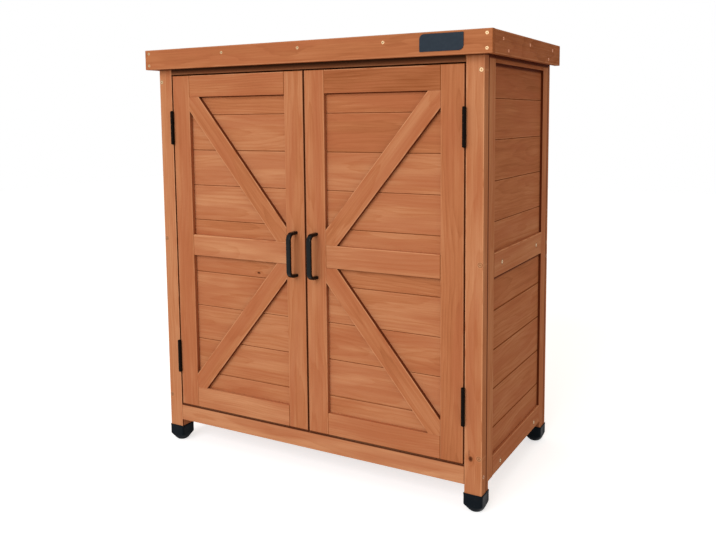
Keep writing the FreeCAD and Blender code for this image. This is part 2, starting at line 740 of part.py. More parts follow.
def handle_places():
    """Fixing centres of a right handle, on the door's front face."""
    half = HANDLE_CENTRES / 2
    return [FreeCAD.Vector(HANDLE_X, FRONT, DOOR_MIDDLE + step * half) for step in (-1, 1)]


def handle_screw_shanks():
    start = DOOR_BACK
    length = DOOR_THICKNESS + HANDLE_SCREW_GRIP
    return [
        Part.makeCylinder(HANDLE_SCREW_RADIUS, length, FreeCAD.Vector(point.x, start, point.z), Y * -1)
        for point in handle_places()]


def handle_bored(shape, side):
    """A piece with the holes for the handle's screws."""
    return shape.cut(handed(Part.makeCompound(handle_screw_shanks()), side))


def handle(side):
    """Bow handle bent from flat bar with rounded edges, its cut ends on the door."""
    strap = handle_face().extrude(X * HANDLE_WIDTH)
    strap = strap.makeFillet(HANDLE_EDGE_RADIUS, rim_edges(strap))
    strap.translate(FreeCAD.Vector(HANDLE_X - HANDLE_WIDTH / 2, FRONT, DOOR_MIDDLE))
    return handle_bored(handed(strap, side), side)


def rim_edges(strap):
    """Edges round both faces of the strap, without those on the door."""
    found = []
    for edge in strap.Edges:
        box = edge.BoundBox
        if box.XLength < CLOSE and box.YMin < -CLOSE:
            found.append(edge)
    return found


def handle_screws(side):
    """Machine screws from inside the door into the handle's ends."""
    pair = []
    for shank, point in zip(handle_screw_shanks(), handle_places()):
        face = FreeCAD.Vector(point.x, DOOR_BACK, point.z)
        head = Part.makeCylinder(HANDLE_SCREW_HEAD_RADIUS, HANDLE_SCREW_HEAD_HEIGHT, face, Y)
        middle = DOOR_BACK + HANDLE_SCREW_HEAD_HEIGHT / 2
        head_rim = [edge for edge in head.Edges if edge.BoundBox.YMin > middle]
        head = head.makeFillet(HANDLE_SCREW_HEAD_HEIGHT / 3, head_rim)
        pair.append(handed(head.fuse(shank), side))
    return pair


def knuckle_spans(centre):
    """Heights of a hinge's knuckles, lowest first."""
    low = centre - HINGE_HEIGHT / 2
    pitch = HINGE_HEIGHT / HINGE_KNUCKLES
    half_gap = HINGE_KNUCKLE_GAP / 2
    return [
        (low + i * pitch + half_gap, low + (i + 1) * pitch - half_gap)
        for i in range(HINGE_KNUCKLES)]


def barrel(radius, span):
    """Round bar on the right hinge's axis between two heights."""
    base = FreeCAD.Vector(HINGE_X, HINGE_Y, span[0])
    return Part.makeCylinder(radius, span[1] - span[0], base, Z)


def hinge_leaf(side, centre, x, own_first, bore_radius):
    """Leaf plate with every second knuckle, and notches for the other leaf's."""
    spans = knuckle_spans(centre)
    own = spans[own_first::2]
    other = spans[1 - own_first::2]
    half = HINGE_HEIGHT / 2
    plate = block(x, (HINGE_Y, FRONT + HINGE_LEAF_DEPTH), (centre - half, centre + half))
    notch_radius = HINGE_BARREL_RADIUS + HINGE_LEAF_SLOT
    notches = [
        barrel(notch_radius, (low - HINGE_KNUCKLE_GAP, high + HINGE_KNUCKLE_GAP))
        for low, high in other]
    leaf = plate.cut(notches).fuse([barrel(HINGE_BARREL_RADIUS, span) for span in own])
    bore = barrel(bore_radius, (centre - half, centre + half))
    return handed(leaf.cut(bore).removeSplitter(), side)


def post_leaves(side):
    x = (POST_X - HINGE_LEAF_THICKNESS, POST_X)
    leaves = [hinge_leaf(side, z, x, 0, HINGE_PIN_RADIUS) for z in hinge_heights()]
    return drilled(leaves, post_leaf_screws(side), HINGE_SCREW)


def door_leaves(side):
    x = (DOOR_OUT, DOOR_OUT + HINGE_LEAF_THICKNESS)
    bore = HINGE_PIN_RADIUS + HINGE_PIN_FIT
    leaves = [hinge_leaf(side, z, x, 1, bore) for z in hinge_heights()]
    return drilled(leaves, door_leaf_screws(side), HINGE_SCREW)


def hinge_pins():
    """Pins with a flat cap at each end of the barrel."""
    pins = []
    for name, side in SIDES:
        for z in hinge_heights():
            low = z - HINGE_HEIGHT / 2
            high = z + HINGE_HEIGHT / 2
            pin = barrel(HINGE_PIN_RADIUS, (low, high))
            upper_cap = barrel(HINGE_PIN_CAP_RADIUS, (high, high + HINGE_PIN_CAP_HEIGHT))
            lower_cap = barrel(HINGE_PIN_CAP_RADIUS, (low - HINGE_PIN_CAP_HEIGHT, low))
            pins.append(handed(pin.fuse([upper_cap, lower_cap]), side))
    return pins


def catch_magnet(side):
    """Magnetic catch on the back of the top rail, reaching down behind the door."""
    half = CATCH_WIDTH / 2
    x = (HANDLE_X - half, HANDLE_X + half)
    rail_back = FRONT + RAIL_THICKNESS
    magnet_face = DOOR_BACK + STRIKE_THICKNESS + CATCH_AIR_GAP
    y = (rail_back, rail_back + CATCH_DEPTH)
    case = block(x, y, (LINTEL - CATCH_BELOW_DOOR, LINTEL + CATCH_ABOVE_DOOR))
    case = case.makeFillet(WOOD_EASE, edges_along(case, Y))
    throat = block(x, (FRONT, magnet_face), (DOOR_LOW, LINTEL))
    return handed(case.cut(throat), side)


def strike_plate(side):
    """Steel plate on the inside of the door, facing the catch."""
    half = STRIKE_WIDTH / 2
    high = DOOR_HIGH - STRIKE_FROM_DOOR_TOP
    plate = block(
        (HANDLE_X - half, HANDLE_X + half), (DOOR_BACK, DOOR_BACK + STRIKE_THICKNESS),
        (high - STRIKE_HEIGHT, high))
    return handed(plate.makeFillet(WOOD_EASE, edges_along(plate, Y)), side)


def carcass_pieces():
    """Posts, feet, rails, floor and shelf, by name."""
    pieces = {
        "foot_caps": foot_caps(),
        "front_top_rail": front_rail(LINTEL),
        "front_bottom_rail": front_rail(BODY_CLEARANCE),
        "back_rails": back_rails(),
        "back_boards": back_boards(),
        "floor_boards": floor_boards(),
        "floor_bearers": floor_bearers(),
        "shelf_boards": shelf_boards(),
        "shelf_bearers": shelf_bearers(),
    }
    for name, side in SIDES:
        pieces[name + "_front_post"] = front_post(side)
        pieces[name + "_rear_post"] = rear_post(side)
        pieces.update(side_panel(name, side))
    return pieces


def side_panel(name, side):
    """One side panel's frame and boards, by name."""
    half = SIDE_MIDDLE_RAIL_HEIGHT / 2
    panel_low = BODY_CLEARANCE
    return {
        name + "_side_stiles": side_stiles(side),
        name + "_side_top_rail": side_rail(side, LINTEL, BODY_TOP),
        name + "_side_middle_rail": side_rail(side, DOOR_MIDDLE - half, DOOR_MIDDLE + half),
        name + "_side_bottom_rail": side_rail(side, panel_low, panel_low + SIDE_BOTTOM_RAIL_HEIGHT),
        name + "_side_boards": side_boards(side),
    }


def roof_pieces():
    """Roof boards, battens, sheet, fascias and the blank plate, by name."""
    return {
        "roof_boards": roof_boards(),
        "roof_battens": roof_battens(),
        "roof_sheet": roof_sheet(),
        "front_fascia": front_fascia(),
        "side_fascias": side_fascias(),
        "badge_plate": badge_plate(),
    }


def hardware_pieces():
    """Screws, hinges and catches that stay with the carcass, by name."""
    long_places = []
    side_places = []
    fascia_places = front_fascia_screws()
    hinge_places = []
    leaves = []
    catches = []
    for name, side in SIDES:
        long_places += front_post_screws(side) + rail_end_screws(side) + back_rail_end_screws(side)
        side_places += bearer_screws(side)
        fascia_places += side_fascia_screws(side)
        hinge_places += post_leaf_screws(side)
        leaves += post_leaves(side)
        catches.append(catch_magnet(side))
    return {
        "post_screws": screws(long_places, LONG_SCREW),
        "side_screws": screws(side_places, SIDE_SCREW),
        "fascia_screws": screws(fascia_places, FASCIA_SCREW),
        "hinge_post_leaves": leaves,
        "hinge_post_screws": screws(hinge_places, HINGE_SCREW),
        "hinge_pins": hinge_pins(),
        "catch_magnets": catches,
    }


def door_pieces(name, side):
    """Everything that swings with one door, by name."""
    prefix = name + "_door_"
    return {
        prefix + "outer_stile": door_stile(side, DOOR_OUT - DOOR_STILE_WIDTH),
        prefix + "inner_stile": door_stile(side, DOOR_IN),
        prefix + "end_rails": door_end_rails(side),
        prefix + "middle_rail": door_middle_rail(side),
        prefix + "braces": door_braces(side),
        prefix + "boards": door_boards(side),
        prefix + "handle": handle(side),
        prefix + "handle_screws": handle_screws(side),
        prefix + "hinge_leaves": door_leaves(side),
        prefix + "hinge_screws": screws(door_leaf_screws(side), HINGE_SCREW),
        prefix + "strike_plate": strike_plate(side),
    }


def all_pieces():
    pieces = carcass_pieces()
    pieces.update(roof_pieces())
    pieces.update(hardware_pieces())
    for name, side in SIDES:
        pieces.update(door_pieces(name, side))
    return pieces


def export(pieces):
    """One file for each named piece or group of like pieces."""
    os.makedirs("parts", exist_ok=True)
    for name, shape in pieces.items():
        solids = shape if isinstance(shape, list) else [shape]
        solids = [solid for piece in solids for solid in piece.Solids]
        whole = solids[0] if len(solids) == 1 else Part.makeCompound(solids)
        whole.exportStep("parts/" + name + ".step")
        print(name, len(solids), "solids, valid:", whole.isValid())


export(all_pieces())
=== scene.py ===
import math

import bpy
import numpy as np
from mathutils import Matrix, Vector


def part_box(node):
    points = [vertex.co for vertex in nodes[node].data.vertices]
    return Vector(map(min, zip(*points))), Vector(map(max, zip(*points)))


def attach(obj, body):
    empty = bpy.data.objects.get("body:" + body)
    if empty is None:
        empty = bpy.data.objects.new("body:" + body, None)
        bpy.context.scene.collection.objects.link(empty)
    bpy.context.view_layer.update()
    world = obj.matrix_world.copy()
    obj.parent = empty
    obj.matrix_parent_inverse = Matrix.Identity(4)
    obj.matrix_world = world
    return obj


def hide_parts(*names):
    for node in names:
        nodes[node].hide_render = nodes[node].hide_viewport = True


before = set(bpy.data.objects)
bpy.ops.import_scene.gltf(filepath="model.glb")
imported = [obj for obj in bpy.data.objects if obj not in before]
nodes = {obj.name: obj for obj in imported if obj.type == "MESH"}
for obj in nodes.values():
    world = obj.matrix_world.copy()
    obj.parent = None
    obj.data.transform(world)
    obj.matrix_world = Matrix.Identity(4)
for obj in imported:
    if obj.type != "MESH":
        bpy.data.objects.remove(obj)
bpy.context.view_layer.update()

# Corner posts
# Four square posts of planed softwood with eased arrises, dipped in red-brown stain before
# the cabinet is put together. The front pair is rebated at the back for the side panels.
MM = 0.001
STAIN_PALE = (0.660, 0.312, 0.152)
STAIN_MIDDLE = (0.490, 0.176, 0.070)
STAIN_DARK = (0.255, 0.066, 0.017)
STAIN_RED = (0.450, 0.138, 0.056)
# Dark brown of the painted shade under the front fascia
EAVES_SHADE_BROWN = (0.045, 0.015, 0.006)
KNOT_BROWN = (0.070, 0.016, 0.005)
JOINT_BROWN = (0.290, 0.078, 0.016)
# Dark brown of painted shade, and of stain soaked into sawn edges
STAIN_AND_SHADE_BROWN = (0.088, 0.013, 0.002)
# Pale of the arrises, wear and painted highlight, and of torn fibre round screws
ARRIS_PALE = (0.700, 0.330, 0.160)

# Lengths of the figure's parts along, across and through a board, in millimetres
FIBRE = (70, 1.3, 1.3)
STREAK = (360, 6.0, 6.0)
CLOUD = (170, 48, 60)
FLECK = (11, 0.9, 0.9)
ROSY_PATCH = (240, 32, 70)
RUBBED_PATCH = (38, 9, 9)
KNOT_WOBBLE = (5, 4, 6)
PITH_WANDER = (310, 90, 110)
RING_RIPPLE = (85, 11, 11)

# Growth rings, in millimetres; knots push them out, and the ripple is in ring widths
TREE_SPREAD = (7300.0, 2900.0, 1700.0)
RING_WIDTH = 5.4
RING_PUSH, RING_UNEVEN = 4.5, 0.9
PITH_SWAY, PITH_DEEP_SWAY = 34.0, 30.0
PITH_SPREAD, PITH_DEPTH, PITH_DEEPER = 40.0, 7.0, 46.0

# Knots: their cells in millimetres, their chance and their share of a cell, and how far
# the rim, the halo and the core reach, in radii of the knot
KNOT_CELL = (165, 92)
KNOT_CHANCE = 0.008
KNOT_SHARE, KNOT_SHARE_MORE = 0.014, 0.026
PLACED_KNOT_SHAPE = (0.155, 0.20, 0)
KNOT_RIM, KNOT_HALO, KNOT_CORE = (1.15, 0.75), (3.2, 0.9), (1.1, 0.3)
KNOT_UNEVEN = 0.5
CRACK_WIDTH, CRACK_START, CRACK_END = (1.1, 0.4), (1.0, 4.0), (24.0, 8.0)
NO_KNOT = (1.0e5, 0.0, 0.0)
FAR_AWAY = 1.0e3

# How far in from an edge, an end, a screw hole or a line each mark starts and is full
ARRIS_REACH = (3.2, 1.0)
JOINT_REACH = (1.3, 0.2)
SAWN_SHADE_REACH = (0.7, 0.1)
END_REACH = (1.7, 0.3)
TORN_REACH = (3.0, 2.0)
SUNK_REACH = (1.4, 0.6)
LINE_CORE = 0.35
LINED_DEPTH = 2.0
# Heights between which the painted shade under the front fascia fades in
EAVES_SHADE_HEIGHTS = (0.902, 0.918)
WOOD_RELIEF = 0.12 * MM

POST_GRAIN = (0, 0, 1)
POST_ACROSS = (1, 0, 0)
POST_TONES = {"left_front": 0.20, "right_front": 0.36, "left_rear": 0.50, "right_rear": 0.45}
RIGHT_POST_KNOT = (114.0, 388.0)
POST_SCREW_HEIGHTS, POST_SCREW_X, POST_SCREW_REACH = (890.0, 511.5, 117.0), 405.5, 4.3
# Painted shade: lines by the door gaps on the posts' fronts, by the panels' edges on their
# sides, and under the fascia
OUTSIDE = (0, -1, 0)
POST_GAP, POST_GAP_LINE = 374.0, 0.9
PANEL_FRONT, PANEL_BACK = -182, 223
PANEL_LINE = 3.2
EAVES_LINE = (2, 922.0, 6.0)


def add(tree, kind, feeds=None, **settings):
    """One shader node; feeds gives an input its value or the socket that drives it."""
    node = tree.nodes.new("ShaderNode" + kind)
    for name, value in settings.items():
        setattr(node, name, value)
    for where, value in (feeds or {}).items():
        if isinstance(value, bpy.types.NodeSocket):
            tree.links.new(value, node.inputs[where])
        else:
            node.inputs[where].default_value = value
    return node


def worked(tree, operation, *values, clamp=False):
    """One step of arithmetic on numbers or sockets."""
    node = add(tree, "Math", dict(enumerate(values)), operation=operation, use_clamp=clamp)
    return node.outputs[0]


def product(tree, *values):
    """All the values multiplied together."""
    result = values[0]
    for value in values[1:]:
        result = worked(tree, "MULTIPLY", result, value)
    return result


def scaled(tree, value, gain, offset):
    """value times gain, plus offset."""
    return worked(tree, "MULTIPLY_ADD", value, gain, offset)


def swayed(tree, value, width):
    """A value from 0 to 1 spread evenly to both sides of nothing, over the given width."""
    return scaled(tree, value, width, -width / 2)


def vector_worked(tree, operation, *values):
    """One step of vector arithmetic; a length and a dot product give a number."""
    node = add(tree, "VectorMath", dict(enumerate(values)), operation=operation)
    return node.outputs["Value" if operation in ("LENGTH", "DOT_PRODUCT") else "Vector"]


def parts_of(tree, vector):
    """The X, Y and Z of a vector."""
    return add(tree, "SeparateXYZ", {0: vector}).outputs


def shares_of(tree, colour):
    """The three numbers in a colour."""
    return add(tree, "SeparateColor", {0: colour}).outputs


def between(tree, value, start, end, low=0.0, high=1.0):
    """low while value is below start and high past end, with an S-curve in between."""
    feeds = {"Value": value, "From Min": start, "From Max": end, "To Min": low, "To Max": high}
    return add(tree, "MapRange", feeds, interpolation_type="SMOOTHSTEP").outputs[0]


def ramp(tree, feed, stops, kind="LINEAR"):
    """A row of colours along 0 to 1, each stop a place and a colour or a grey."""
    node = add(tree, "ValToRGB", {"Fac": feed})
    band = node.color_ramp
    band.interpolation = kind
    for i, (place, colour) in enumerate(stops):
        stop = band.elements[i] if i < 2 else band.elements.new(place)
        stop.position = place
        full = colour if isinstance(colour, tuple) else (colour,) * 3
        stop.color = full if len(full) == 4 else (*full, 1)
    return node


def tint(tree, amount, below, above):
    """below where amount is 0 and above where it is 1."""
    node = add(tree, "Mix", {"Factor": amount}, data_type="RGBA")
    for name, value in (("A_Color", below), ("B_Color", above)):
        socket = next(s for s in node.inputs if s.identifier == name)
        if isinstance(value, bpy.types.NodeSocket):
            tree.links.new(value, socket)
        else:
            socket.default_value = (*value, 1)
    return next(s for s in node.outputs if s.identifier == "Result_Color")


def drawn_noise(tree, place, lengths, detail=2.0, roughness=0.5, output="Fac"):
    """Noise whose clouds have the given lengths along, across and through, in millimetres."""
    point = vector_worked(tree, "MULTIPLY", place, tuple(1.0 / length for length in lengths))
    feeds = {"Vector": point, "Scale": 1.0, "Detail": detail, "Roughness": roughness}
    return add(tree, "TexNoise", feeds).outputs[output]


def knots_in(tree, given, place):
    """Distance to the nearest knot, 1 at its rim, and the crack over the placed one.

    Each cell of the board holds a knot or, far more often, none; one more has its place
    given. A fine noise makes the rims uneven."""
    cells = vector_worked(tree, "MULTIPLY", place, (1 / KNOT_CELL[0], 1 / KNOT_CELL[1], 0))
    scatter = add(tree, "TexVoronoi", {"Vector": cells, "Scale": 1.0},
                  voronoi_dimensions="2D").outputs
    chance = shares_of(tree, scatter["Color"])
    size = scaled(tree, chance[1], KNOT_SHARE_MORE, KNOT_SHARE)
    reach = worked(tree, "DIVIDE", scatter["Distance"], size)
    empty = worked(tree, "GREATER_THAN", chance[0], KNOT_CHANCE)
    reach = scaled(tree, empty, FAR_AWAY, reach)
    away = vector_worked(tree, "SUBTRACT", given["Place"], given["Knot"])
    shaped = vector_worked(tree, "MULTIPLY", away, PLACED_KNOT_SHAPE)
    reach = worked(tree, "MINIMUM", reach, vector_worked(tree, "LENGTH", shaped))
    wobble = drawn_noise(tree, place, KNOT_WOBBLE)
    reach = worked(tree, "ADD", reach, swayed(tree, wobble, KNOT_UNEVEN))
    beside = parts_of(tree, away)
    off = worked(tree, "ADD", beside["Y"], scaled(tree, wobble, 3.0, 2.0))
    crack = product(tree, between(tree, worked(tree, "ABSOLUTE", off), *CRACK_WIDTH),
                    between(tree, beside["X"], *CRACK_END),
                    between(tree, beside["X"], *CRACK_START))
    return reach, crack


def rings_in(tree, place, across, through, second, third, halo):
    """Growth rings, 0 in the early wood and 1 in the late wood of each.

    Distance to the pith over the ring width, plus a ripple; the fraction left over runs
    from the start to the end of one ring."""
    wander = shares_of(tree, drawn_noise(tree, place, PITH_WANDER, 1.0, output="Color"))
    side = worked(tree, "ADD", across, swayed(tree, wander[0], PITH_SWAY))
    side = worked(tree, "ADD", side, swayed(tree, second, PITH_SPREAD))
    depth = worked(tree, "ADD", through, scaled(tree, wander[1], PITH_DEEP_SWAY, PITH_DEPTH))
    depth = worked(tree, "ADD", depth, product(tree, third, PITH_DEEPER))
    pith = add(tree, "CombineXYZ", {"X": side, "Y": depth}).outputs[0]
    far = scaled(tree, halo, RING_PUSH, vector_worked(tree, "LENGTH", pith))
    ripple = product(tree, drawn_noise(tree, place, RING_RIPPLE), RING_UNEVEN)
    count = scaled(tree, far, 1.0 / RING_WIDTH, ripple)
    return ramp(tree, worked(tree, "FRACT", count), [
        (0.0, 0.0), (1.0, 0.02), (0.45, 0.14), (0.80, 0.72), (0.92, 1.0)]).outputs[0]


def marked(tree, given, place, local, across, colour):
    """The colour with what tools, hands and stain have left, and with painted light and
    shade: pale arrises of wear and painted highlight, dark joints, sawn edges dark with
    soaked stain and painted shade, torn rims round screws with a ring of painted shade of
    the countersink and crushed fibres, painted shade under the eaves, dark ends, and lines
    of painted shade."""
    upper = worked(tree, "SUBTRACT", given["Half"], across)
    lower = worked(tree, "ADD", given["Half"], across)
    edge = worked(tree, "MINIMUM", upper, lower)
    # On a rail the pale arris of wear and painted highlight is the upper one, and the dark sawn
    # edge with painted shade the lower.
    lit_worn_edge, sawn_shade_edge = (
        scaled(tree, given["Topped"], worked(tree, "SUBTRACT", side, edge), edge)
        for side in (upper, lower))
    inward = worked(tree, "SUBTRACT", given["Half Through"],
                    worked(tree, "ABSOLUTE", local["Z"]), clamp=True)
    rubbed = drawn_noise(tree, place, RUBBED_PATCH)
    arris = between(tree, scaled(tree, inward, 4.0, lit_worn_edge), *ARRIS_REACH)
    tip = worked(tree, "SUBTRACT", given["Half Length"], worked(tree, "ABSOLUTE", local["X"]))
    height = parts_of(tree, add(tree, "TexCoord").outputs["Object"])["Z"]
    screwed = given["Screwed"]
    for amount, mark in (
            # pale arrises: wear and painted highlight
            (product(tree, arris, between(tree, rubbed, 0.32, 0.52), given["Wear and Highlight"]), ARRIS_PALE),
            (product(tree, between(tree, edge, *JOINT_REACH), given["Jointed"]), JOINT_BROWN),
            # dark sawn edges: soaked stain and painted shade
            (product(tree, between(tree, sawn_shade_edge, *SAWN_SHADE_REACH), given["Sawn and Shade"]),
             STAIN_AND_SHADE_BROWN),
            (product(tree, between(tree, screwed, *TORN_REACH, 0.0, 0.7), rubbed), ARRIS_PALE),
            # dark ring round a screw head: painted shade of the countersink and crushed fibres
            (between(tree, screwed, *SUNK_REACH, 0.0, 0.55), STAIN_AND_SHADE_BROWN),
            # painted shade under the front fascia, by height
            (product(tree, between(tree, height, *EAVES_SHADE_HEIGHTS, 0.45, 0.97),
                     given["Eaves Shade"]), EAVES_SHADE_BROWN),
            (product(tree, between(tree, tip, *END_REACH), given["Ended"]), JOINT_BROWN),
            # lines of painted shade
            (given["Painted Shade"], STAIN_AND_SHADE_BROWN)):
        colour = tint(tree, amount, colour, mark)
    return colour


def softwood_pattern(name, pale, middle, dark, red):
    """Shader group that gives a place in a board its colour, roughness and relief.

    The place is along, across and through the board, in millimetres. Growth rings are
    circles round a pith line behind the board: ring count = distance to the pith divided by
    the ring width, and the pith line wanders slowly along the grain, which draws the flames.
    Fibres, streaks and clouds are noise drawn out along the grain. Knots push the rings
    aside. Each part of the figure counts by its distance from its mean times its weight.
    Board is a board's shade, and Second a number of its own for its place in the tree."""
    tree = bpy.data.node_groups.new(name, "ShaderNodeTree")
    sockets = {"INPUT": {"Vector": ("Place", "Knot"), "Float": (
        "Middle", "Half", "Half Through", "Half Length", "Board", "Second", "Jointed", "Sawn and Shade",
        "Topped", "Wear and Highlight", "Ended", "Painted Shade", "Eaves Shade", "Screwed")},
        "OUTPUT": {"Color": ("Colour",), "Float": ("Roughness", "Relief")}}
    for way, kinds in sockets.items():
        for kind, words in kinds.items():
            for word in words:
                tree.interface.new_socket(word, in_out=way, socket_type="NodeSocket" + kind)
    given = tree.nodes.new("NodeGroupInput").outputs
    board, second = given["Board"], given["Second"]
    third = worked(tree, "FRACT", product(tree, second, 31.7))
    moved = add(tree, "CombineXYZ", {
        i: product(tree, number, spread)
        for i, (number, spread) in enumerate(zip((third, second, third), TREE_SPREAD))})
    place = vector_worked(tree, "ADD", given["Place"], moved.outputs[0])
    local = parts_of(tree, given["Place"])
    across = worked(tree, "SUBTRACT", local["Y"], given["Middle"])

    reach, crack = knots_in(tree, given, place)
    knot = between(tree, reach, *KNOT_RIM)
    halo = between(tree, reach, *KNOT_HALO)
    ring = rings_in(tree, place, across, local["Z"], second, third, halo)
    fibre = drawn_noise(tree, place, FIBRE, 3.0, 0.6)
    streak = drawn_noise(tree, place, STREAK, 3.0)
    cloud = drawn_noise(tree, place, CLOUD)
    fleck = between(tree, drawn_noise(tree, place, FLECK), 0.64, 0.74)

    shade = 0.40
    for part, mean, weight in (
            (ring, 0.30, 0.14), (fibre, 0.5, 0.44), (streak, 0.5, 0.34), (cloud, 0.5, 0.40),
            (board, 0.5, 0.36), (fleck, 0.0, 0.12), (halo, 0.0, 0.14)):
        shade = scaled(tree, worked(tree, "SUBTRACT", part, mean), weight, shade)
    colour = ramp(tree, shade, [(0.0, pale), (1.0, dark), (0.48, middle)]).outputs[0]
    rosy = scaled(tree, second, 0.16, drawn_noise(tree, place, ROSY_PATCH))
    colour = tint(tree, between(tree, rosy, 0.46, 0.74, 0.0, 0.55), colour, red)
    colour = marked(tree, given, place, local, across, colour)
    core = product(tree, knot, between(tree, reach, *KNOT_CORE, 0.40, 0.92))
    core = worked(tree, "MAXIMUM", core, product(tree, crack, 0.75))
    colour = tint(tree, core, colour, KNOT_BROWN)

    relief = scaled(tree, fibre, 0.9, product(tree, ring, 0.35))
    relief = scaled(tree, knot, 0.4, scaled(tree, fleck, -0.5, relief))
    rough = scaled(tree, cloud, 0.10, scaled(tree, fibre, 0.24, 0.60))
    out = tree.nodes.new("NodeGroupOutput").inputs
    for word, value in (("Colour", colour), ("Roughness", rough), ("Relief", relief)):
        tree.links.new(value, out[word])
    return tree


def finish_of(name, specular, metallic=0.0):
    """An empty finish whose even values are set on the shader itself."""
    material = bpy.data.materials.new(name)
    material.use_nodes = True
    tree = material.node_tree
    shader = tree.nodes["Principled BSDF"]
    shader.inputs["Metallic"].default_value = metallic
    shader.inputs["Specular IOR Level"].default_value = specular
    return material, tree, shader


def finished(material, tree, shader, colour, roughness, height, depth):
    """The finish with its colour, its roughness, and relief of the given depth in metres."""
    bump = add(tree, "Bump", {"Height": height, "Distance": depth}).outputs[0]
    for name, value in (("Base Color", colour), ("Roughness", roughness), ("Normal", bump)):
        tree.links.new(value, shader.inputs[name])
    return material


def dress(node_name, material):
    """Puts the finish on every slot of a CAD node."""
    mesh = nodes[node_name].data
    mesh.materials.clear()
    mesh.materials.append(material)


def board_by_board(tree, height, low, high, joints, shades, others):
    """What each board between the joints has of its own, measured along one axis.

    A ramp with hard steps holds four numbers for each board: its shade, the number for its
    place in the tree, its middle counted from low, and half its width, in millimetres."""
    span = high - low
    bounds = [low, *[joint for joint in joints if low < joint < high], high]
    stops = []
    for start, end, shade, second in zip(bounds, bounds[1:], shades, others):
        middle = ((start + end) / 2 - low) / span
        stops.append(((start - low) / span, (shade, second, middle, (end - start) / 2 / span)))
    feed = add(tree, "MapRange", {"Value": height, "From Min": low, "From Max": high})
    picked = ramp(tree, feed.outputs[0], stops, "CONSTANT").outputs
    shade, second, middle = shares_of(tree, picked["Color"])
    return shade, second, product(tree, middle, span), product(tree, picked["Alpha"], span)


def cut_board(node_name, pattern, along, across, seed, joints=(), split=None, tones=(),
              knot=None, brace=None, jointed=1.0, sawn_and_shade=0.0, topped=0.0, wear_and_highlight=0.4, ended=0.5,
              eaves_shade=0.0, lines=(), sunk=(), specular=0.05):
    """Gives a CAD node the wood of its boards, with the grain along the given direction.

    joints are the places, in millimetres along the split direction, where one board ends
    and the next begins; each board gets its own part of the tree and its own shade, from
    tones where they are given, 0 for the palest wood and 1 for the darkest. A brace is a
    height, a start, a rise and a width: the grain is folded about that height, for a pair.
    The amounts for the board joints, the sawn edges, the arrises, the ends and the part
    under the eaves say how strongly each shows: the sawn edges are dark with soaked stain
    and painted shade, the arrises pale with wear and painted highlight, and the part under
    the eaves dark with painted shade. With topped at 1, as on a rail, only the upper arris
    gets the wear and painted highlight and only the lower edge keeps its dark sawn line
    with painted shade. Each of the lines is an axis, a place on it and a reach: painted
    shade lies that near to it.
    A line may also name a direction and then lies only by the face that looks that way.
    Each of the sunk screws is a place along, a place across and the reach of its hole."""
    low, high = (np.array(corner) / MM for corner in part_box(node_name))
    along, across = np.array(along, float), np.array(across, float)
    through = np.cross(along, across)
    centre, half = (low + high) / 2, (high - low) / 2
    material, tree, shader = finish_of(node_name, specular)
    raw = parts_of(tree, vector_worked(
        tree, "MULTIPLY", add(tree, "TexCoord").outputs["Object"], (1 / MM,) * 3))
    height = raw["Z"]
    if brace:
        fold, start, rise, width = brace
        height = worked(tree, "ABSOLUTE", worked(tree, "SUBTRACT", height, fold))
        centre[2], half[2] = start + rise / 2, rise / 2
    point = add(tree, "CombineXYZ", {"X": raw["X"], "Y": raw["Y"], "Z": height}).outputs[0]
    moved = vector_worked(tree, "SUBTRACT", point, tuple(centre))

    def measured(direction):
        return vector_worked(tree, "DOT_PRODUCT", moved, tuple(direction))

    place = add(tree, "CombineXYZ", {
        "X": measured(along), "Y": measured(across), "Z": measured(through)}).outputs[0]
    draw = np.random.default_rng(seed)
    count = len(joints) + 1
    shades = tones if len(tones) == count else 0.3 + 0.4 * draw.random(count)
    others = draw.random(count)
    values = {
        "Place": place, "Knot": NO_KNOT, "Board": shades[0], "Second": others[0],
        "Half": float(np.abs(across) @ half), "Half Length": float(np.abs(along) @ half),
        "Half Through": float(np.abs(through) @ half), "Sawn and Shade": sawn_and_shade, "Topped": topped,
        "Wear and Highlight": wear_and_highlight, "Ended": ended, "Eaves Shade": eaves_shade, "Screwed": FAR_AWAY}
    if count > 1:
        way = across if split is None else np.array(split, float)
        axis = int(np.argmax(np.abs(way)))
        first = float(low[axis])
        values["Board"], values["Second"], middle, width_half = board_by_board(
            tree, raw[axis], first, float(high[axis]), joints, shades, others)
        if abs(float(way @ across)) > 0.5 and not brace:
            middle = worked(tree, "ADD", middle, first - float(centre[axis]))
            values["Middle"] = product(tree, middle, float(np.sign(across[axis])))
            values["Half"], values["Jointed"] = width_half, jointed
    if brace:
        values["Half"], values["Half Length"] = width / 2, FAR_AWAY
    if knot:
        values["Knot"] = (knot[0] - float(centre @ along), knot[1] - float(centre @ across), 0)
    for place_along, place_across, hole in sunk:
        spot = (place_along - float(centre @ along), place_across - float(centre @ across), 0)
        away = vector_worked(tree, "SUBTRACT", place, spot)
        away = vector_worked(tree, "LENGTH", vector_worked(tree, "MULTIPLY", away, (1, 1, 0)))
        rim = worked(tree, "SUBTRACT", away, hole)
        values["Screwed"] = worked(tree, "MINIMUM", values["Screwed"], rim)
    # Each line paints shade, full near its place and fading out to its reach.
    for axis, line, reach, *faced in lines:
        off = worked(tree, "ABSOLUTE", worked(tree, "SUBTRACT", raw[axis], line))
        drawn = between(tree, off, reach, LINE_CORE * reach)
        for side in faced:
            face = float(np.abs(side) @ half)
            drawn = product(tree, drawn, between(
                tree, measured(side), face - 2 * LINED_DEPTH, face - LINED_DEPTH))
        values["Painted Shade"] = worked(tree, "MAXIMUM", values.get("Painted Shade", 0.0), drawn)
    wood = add(tree, "Group", values, node_tree=pattern).outputs
    dress(node_name, finished(material, tree, shader, wood["Colour"], wood["Roughness"],
                              wood["Relief"], WOOD_RELIEF))


